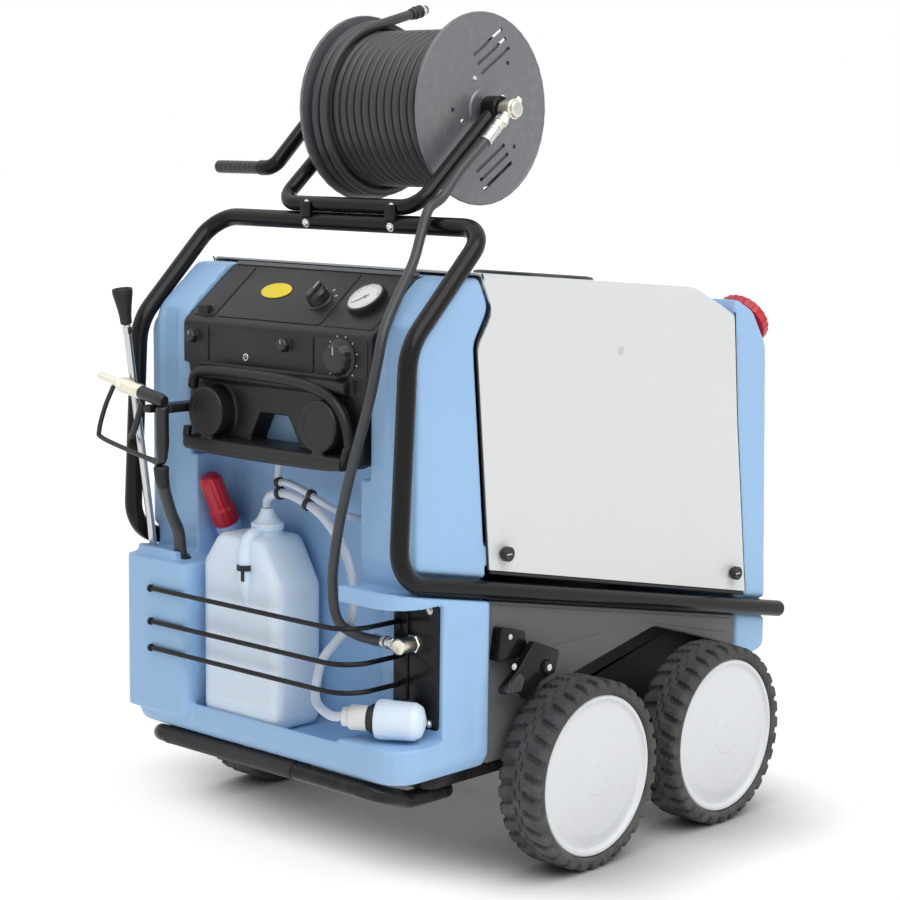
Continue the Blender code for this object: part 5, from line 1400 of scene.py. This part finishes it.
# --- front fittings
def make_fittings():
    """The coupling plate with its bolts, the outlet nipple, the guard rods and the filter."""
    face = -450 - TOUCH
    front = face - 4
    plate = along_y(rect(214, 308, 262, 456, 6), front, face, 0.8)
    fold = along_y(rect(218, 246, 300, 436, 3), front - 2.2, front + 0.4, 0.6)
    bolts = []
    for x, z in ((229, 447), (290, 447), (229, 271), (290, 271)):
        bolts += screw_head((x, front, z), TO_FRONT, 4.8)
    piece("coupling_backplate", "coupling_plate", chassis_steel=[plate, fold], bright_steel=bolts)
    x, (y, z) = 262, OUTLET_STUB[1:]
    nut = turned(
        [(0, 10), (13.5, 9.5, 0.8), (15, 8, 0.8), (15, 0), (0, 0)], (x, front - TOUCH, z),
        TO_FRONT, 6)
    post = turned(
        [(0, 41.6), (10, 41.2, 1), (12.5, 39.5, 1), (12.5, 10), (0, 10)], (x, front - TOUCH, z),
        TO_FRONT, 40)
    stub = turned([
        (0, 34), (8.5, 34, 0.6), (8.5, 25, 0.4), (10.2, 24, 0.4), (10.2, 19, 0.6), (8, 18, 0.4),
        (8, 0), (0, 0)], (x, y, z), (-1, 0, 0), 40)
    piece("pressure_outlet", "outlet_nipple", brass=[nut, post], bright_steel=[stub])
    line = -566 - TOUCH
    for label, z in (("top", 421), ("middle", 366), ("bottom", 322)):
        path = spaced(rounded([
            (-232, line, z, 0), (226, line, z, 48), (226, front - TOUCH, z, 0)], 12), 5)
        collar = turned(
            [(0, 1), (6.2, 1, 0.5), (6.2, -3, 0.5), (0, -3)], (-231.5, line, z), (-1, 0, 0), 24)
        piece(f"guard_bar_{label}", f"guard_rod_{label}",
              chassis_steel=[carried(path, 4, 16, blunt=0.9)], seal_rubber=[collar])
    head = turned(
        [(0, 54), (23, 54, 1), (23, 46, 1), (19.5, 44, 1), (19.5, 40, 1)], FILTER_NECK, FILTER_WAY,
        56)
    neck = turned(
        [(19.5, 40), (19.5, 12, 2), (15, 10, 1), (15, 0, 1), (0, 0)], FILTER_NECK, FILTER_WAY, 56)
    piece("filter_top", "filter_head", seal_rubber=[head], dial_plastic=[neck])
    seat = FILTER_NECK + FILTER_WAY * 54.5
    rows = [(30.8, h) for h in np.arange(19.5, 1.5, -2)]
    cup = turned(
        [(0, 74), (11, 73.8, 4), (23.5, 69, 6), (29, 59, 6), (30, 21, 1)] + rows
        + [(29, 0), (0, 0)], seat, FILTER_WAY, 80, ripple=fluted(20, 1.2, 28, 1, 20), steps=6)
    piece("filter_bowl", "filter_cup", milky_plastic=[cup])


def canister_relief(spots):
    """A panel sunk 1.6 mm in the canister's wide faces, along Y."""
    x, y, z = spots.T
    moved = spots.copy()
    inside = eased(66 - np.abs(x + 45), 0, 6) * eased(z, 262, 270) * eased(430 - z, 0, 10)
    front, back = eased(-y, 532, 538), eased(y, -448, -442)
    moved[:, 1] += 1.6 * inside * (front - back)
    return moved


def make_canister():
    """The detergent canister, its ribbed cap and the moulded grip with its strap."""
    softened("detergent_canister", "canister", "milky_plastic", 2.2, 5, canister_relief, 0.4)
    rows = [(25.9, h) for h in np.arange(9, 1, -2)]
    cap = turned([
        (0, 34), (9.8, 34, 1), (11, 29, 2), (16.5, 18.5, 4), (21.5, 12.5, 2), (25.9, 10.4, 1)]
        + rows + [(25.9, 0), (0, 0)], (-30, -492, 535.5), Z_AXIS, 90,
        ripple=fluted(30, 0.9, 25, 0.5, 10.5))
    piece("canister_screw_cap", "canister_cap", milky_plastic=[cap])
    grip = flowing([
        (-30, -508, 530), (-30.2, -526.5, 526.5), (-30.4, -537.5, 508), (-30, -540, 480),
        (-29, -540, 445), (-28, -537, 420)], 4)
    radii = np.interp(np.linspace(0, 1, len(grip)), (0, 0.2, 0.75, 1), (12, 12.5, 11, 4))
    strap = turned(band(11.8, 13.6, 4.5, 0.6), (-30, -539.5, 480), Z_AXIS, 40, ring=True)
    tail = block((-24.5, -554.5, 460), (-19.5, -550.5, 476.5), 0.8, 1)
    piece("canister_grip", milky_plastic=[carried(grip, radii, 24)], seal_rubber=[strap, tail])


def make_caps():
    """The fluted red filler caps at the front and on the rear corner."""
    way = unit((0, -0.4434, 0.8963))
    seat = np.array((-160, -462, 528)) + way * TOUCH
    cap = turned([
        (0, 88), (14, 88, 2), (18.8, 82, 2), (18.8, 31, 2), (22.2, 27, 1.5), (22.2, 0, 1), (0, 0)],
        seat, way, 96, ripple=fluted(14, 1.1, 17.5))
    piece("front_filler_cap", "filler_cap", red_plastic=[cap])
    slope = unit((0, 62, 42))
    seat = np.array((252, 371, 831)) + slope * TOUCH
    lid = turned([
        (0, 26.5), (30, 26.5, 2), (33, 29.8, 1), (45, 29.8, 2), (49.8, 25, 1), (49.8, 8.2, 1),
        (26.2, 6.2, 1), (25.8, 0), (0, 0)], seat, slope, 120, ripple=fluted(24, 1.6, 44))
    bar = slab(rect(-28, 28, -6, 6, 5), 25, 29.8, 1.5, seat, X_AXIS, np.cross(slope, X_AXIS))
    piece("rear_filler_cap", "rear_cap", red_plastic=[lid, bar])


# --- gun, lance and brake
def make_gun():
    """The lance with its horn, and the gun with its sleeve, grip, guard and trigger."""
    def lance_point(z):
        """A point of the lance's own line, which leans forwards."""
        share = (z - 470) / 380
        return np.array((-277 + share * 1.5, -519 - share * 56, z))

    foot, head = lance_point(300.4), lance_point(850)
    way = unit(head - foot)
    path = spaced(np.array((foot, head)), 20)
    nut = turned(band(6.4, 8.2, 6, 0.6), head - way * 10, way, 6, ring=True)
    piece("lance_tube", "spray_lance", bright_steel=[carried(path, 6.5, 20), nut])
    horn = turned([
        (0, 52), (12, 52.5, 1), (14, 57.8, 1), (16.5, 57.8, 1), (16.5, 50, 2), (12.5, 30, 6),
        (10, 14, 4), (9.2, 0, 1), (0, 0)], head + way * TOUCH, way, 48, steps=5)
    piece("lance_horn", "lance_nozzle", seal_rubber=[horn])

    def gun_axis(x):
        """A point of the gun's own line, which falls towards its handle."""
        return np.array((x, -583, 763 - 0.18 * (x + 335)))

    tip, heel = gun_axis(-335), gun_axis(-172)
    length = float(np.linalg.norm(heel - tip))
    way = unit(heel - tip)
    tube = turned([(0, 0), (6.4, 0, 0.6), (6.4, 44, 1), (8.8, 49, 1), (8.8, 54)], tip, way, 32)
    nut = turned([(8.8, 54), (13, 55, 0.8), (13, 68, 0.8), (11, 69)], tip, way, 6)
    joint = turned([(11, 69), (12.4, 70, 0.8), (12.4, 104, 1), (10.8, 108, 1)], tip, way, 40)
    sleeve = turned(
        [(10, 107), (11, 108, 1), (11, length - 10, 3), (9, length, 2), (0, length)], tip, way, 40)
    piece("gun_valve", "spray_gun", brass=[tube, nut, joint], knob_plastic=[sleeve])
    front, back = gun_axis(-300)[2] - 9.2, gun_axis(-178)[2] - 10.6 - TOUCH
    guard = [
        (-300, front), (-322, 712), (-338, 672), (-330, 660), (-260, 646), (-200, 636),
        (-181, 638), (-178, 655), (-178, 700), (-178, back)]
    bow = flowing([(x, -583, z) for x, z in guard], 3)
    run = along(bow)
    thick = np.interp(run / run[-1], (0, 0.6, 0.68, 0.76, 0.82, 1), (4, 4, 4.8, 8.5, 10.8, 10.8))
    piece("gun_grip_and_guard", "gun_handle", knob_plastic=[carried(bow, thick, 24, blunt=0.2)])
    lever = flowing([
        (-226, -583, 730), (-234, -583, 712), (-243, -583, 690), (-251, -583, 676),
        (-262, -583, 664)], 5)
    thick = np.interp(np.linspace(0, 1, len(lever)), (0, 0.3, 0.8, 1), (4.2, 4.6, 4.4, 3))
    piece("gun_trigger_lever", "gun_trigger", knob_plastic=[
        carried(lever, thick, 20, flat=1.25, blunt=0.8)])


def make_brake():
    """The parking brake's pedal, a slab with eased rims, a tread pad and two bolts, and the
    bracket behind it."""
    bracket = along_x(
        [(-328, 350, 3), (-256, 350, 3), (-264, 390, 6), (-320, 404, 6)], 297.8, 317.5, 2)
    pin = screw_head((317, -300, 386), X_AXIS, 3.4)
    piece("brake_bracket", chassis_steel=[bracket], bright_steel=pin)
    outline = [
        (-345, 303, 6), (-290, 300, 2), (-276, 281, 6), (-246, 309, 10), (-212, 318, 6),
        (-200, 352, 8), (-262, 376, 8), (-300, 336, 10)]
    pedal = along_x(outline, 322.2, 336, 2, steps=4)
    pad = along_x(
        [(-340, 305, 4), (-298, 303, 3), (-290, 322, 3), (-300, 332, 4)], 335, 340.5, 1.2)
    ribs = [along_x([(y - 1.2, 306), (y + 1.2, 306), (y + 4.2, 322), (y + 1.8, 322)],
                    340, 341.8, 0.4) for y in (-330, -322, -314, -306)]
    boss = turned(
        [(6.5, 19.8), (11.5, 19.8, 1), (12.5, 18, 1), (12.5, 10), (6.5, 10)], (322, -232, 330),
        X_AXIS, 36, ring=True)
    bolts = screw_head((336.2, -312, 344), X_AXIS, 4)
    piece(
        "parking_brake", "brake_pedal", chassis_steel=[pedal, boss], tyre_rubber=[pad] + ribs,
        bright_steel=bolts)


def make_machinery():
    """Finishes of the two machines that the bodies and the hood cover."""
    refinish("boiler", "dark_steel")
    refinish("motor_pump", "chassis_steel")


# --- operators, panel and main
def run(*makers):
    """Calls the makers in turn, for an operator."""
    for make in makers:
        make()
    return {"FINISHED"}


class WASHER_OT_stage(bpy.types.Operator):
    """Adds the camera, the soft lights and the pale floor."""
    bl_idname = "washer.stage"
    bl_label = "Stage"

    def execute(self, context):
        return run(make_camera, make_lights, make_floor)


class WASHER_OT_hoses(bpy.types.Operator):
    """Adds every hose and the fittings on them."""
    bl_idname = "washer.hoses"
    bl_label = "Hoses"

    def execute(self, context):
        return run(make_hoses)


class WASHER_OT_wheels(bpy.types.Operator):
    """Adds the four treaded tyres and their discs."""
    bl_idname = "washer.wheels"
    bl_label = "Wheels"

    def execute(self, context):
        return run(make_tyres, make_discs)


class WASHER_OT_chassis(bpy.types.Operator):
    """Adds the chassis pan, the foot bar, dark arch liners that stand in for the arches' shade, and
    the handle frame.
    """
    bl_idname = "washer.chassis"
    bl_label = "Chassis and frame"

    def execute(self, context):
        return run(make_chassis, make_frame, make_machinery)


class WASHER_OT_bodies(bpy.types.Operator):
    """Adds the blue mouldings at the front and the rear."""
    bl_idname = "washer.bodies"
    bl_label = "Body mouldings"

    def execute(self, context):
        return run(make_bodies)


class WASHER_OT_hood(bpy.types.Operator):
    """Adds the hood with its seals, knobs, rivets and flue ring."""
    bl_idname = "washer.hood"
    bl_label = "Hood"

    def execute(self, context):
        return run(make_hood, make_hood_fittings)


class WASHER_OT_side_panels(bpy.types.Operator):
    """Adds the lower side panels and the parking brake."""
    bl_idname = "washer.side_panels"
    bl_label = "Side panels and brake"

    def execute(self, context):
        return run(make_side_panels, make_brake)


class WASHER_OT_console(bpy.types.Operator):
    """Adds the console, its controls and the hose rack."""
    bl_idname = "washer.console"
    bl_label = "Console"

    def execute(self, context):
        return run(make_console)


class WASHER_OT_reel(bpy.types.Operator):
    """Adds the reel, its stand, the crank and the swivel."""
    bl_idname = "washer.reel"
    bl_label = "Hose reel"

    def execute(self, context):
        return run(make_reel)


class WASHER_OT_fittings(bpy.types.Operator):
    """Adds the coupling plate, outlet, filter, guard rods, canister and filler caps."""
    bl_idname = "washer.fittings"
    bl_label = "Front fittings"

    def execute(self, context):
        return run(make_fittings, make_canister, make_caps)


class WASHER_OT_gun(bpy.types.Operator):
    """Adds the lance and the spray gun."""
    bl_idname = "washer.gun"
    bl_label = "Gun and lance"

    def execute(self, context):
        return run(make_gun)


OPERATORS = (WASHER_OT_stage, WASHER_OT_hoses, WASHER_OT_wheels, WASHER_OT_chassis,
             WASHER_OT_bodies, WASHER_OT_hood, WASHER_OT_side_panels, WASHER_OT_console,
             WASHER_OT_reel, WASHER_OT_fittings, WASHER_OT_gun)


class WASHER_PT_panel(bpy.types.Panel):
    """Lists the sizes, the colours and the pieces."""
    bl_idname = "WASHER_PT_panel"
    bl_label = "Pressure washer"
    bl_space_type = "VIEW_3D"
    bl_region_type = "UI"
    bl_category = "Washer"

    def draw(self, context):
        for group in (context.scene.washer_sizes, context.scene.washer_colours):
            for key in group.bl_rna.properties.keys():
                if key not in ("name", "rna_type"):
                    self.layout.prop(group, key)
        for operator in OPERATORS:
            self.layout.operator(operator.bl_idname)


CLASSES = (WasherColours, WasherSizes) + OPERATORS + (WASHER_PT_panel,)


def register():
    for cls in CLASSES:
        bpy.utils.register_class(cls)
    bpy.types.Scene.washer_colours = bpy.props.PointerProperty(type=WasherColours)
    bpy.types.Scene.washer_sizes = bpy.props.PointerProperty(type=WasherSizes)


def unregister():
    del bpy.types.Scene.washer_sizes
    del bpy.types.Scene.washer_colours
    for cls in reversed(CLASSES):
        bpy.utils.unregister_class(cls)


def main():
    register()
    build_groups()
    for operator in OPERATORS:
        group, action = operator.bl_idname.split(".")
        getattr(getattr(bpy.ops, group), action)()


if __name__ == "__main__":
    main()
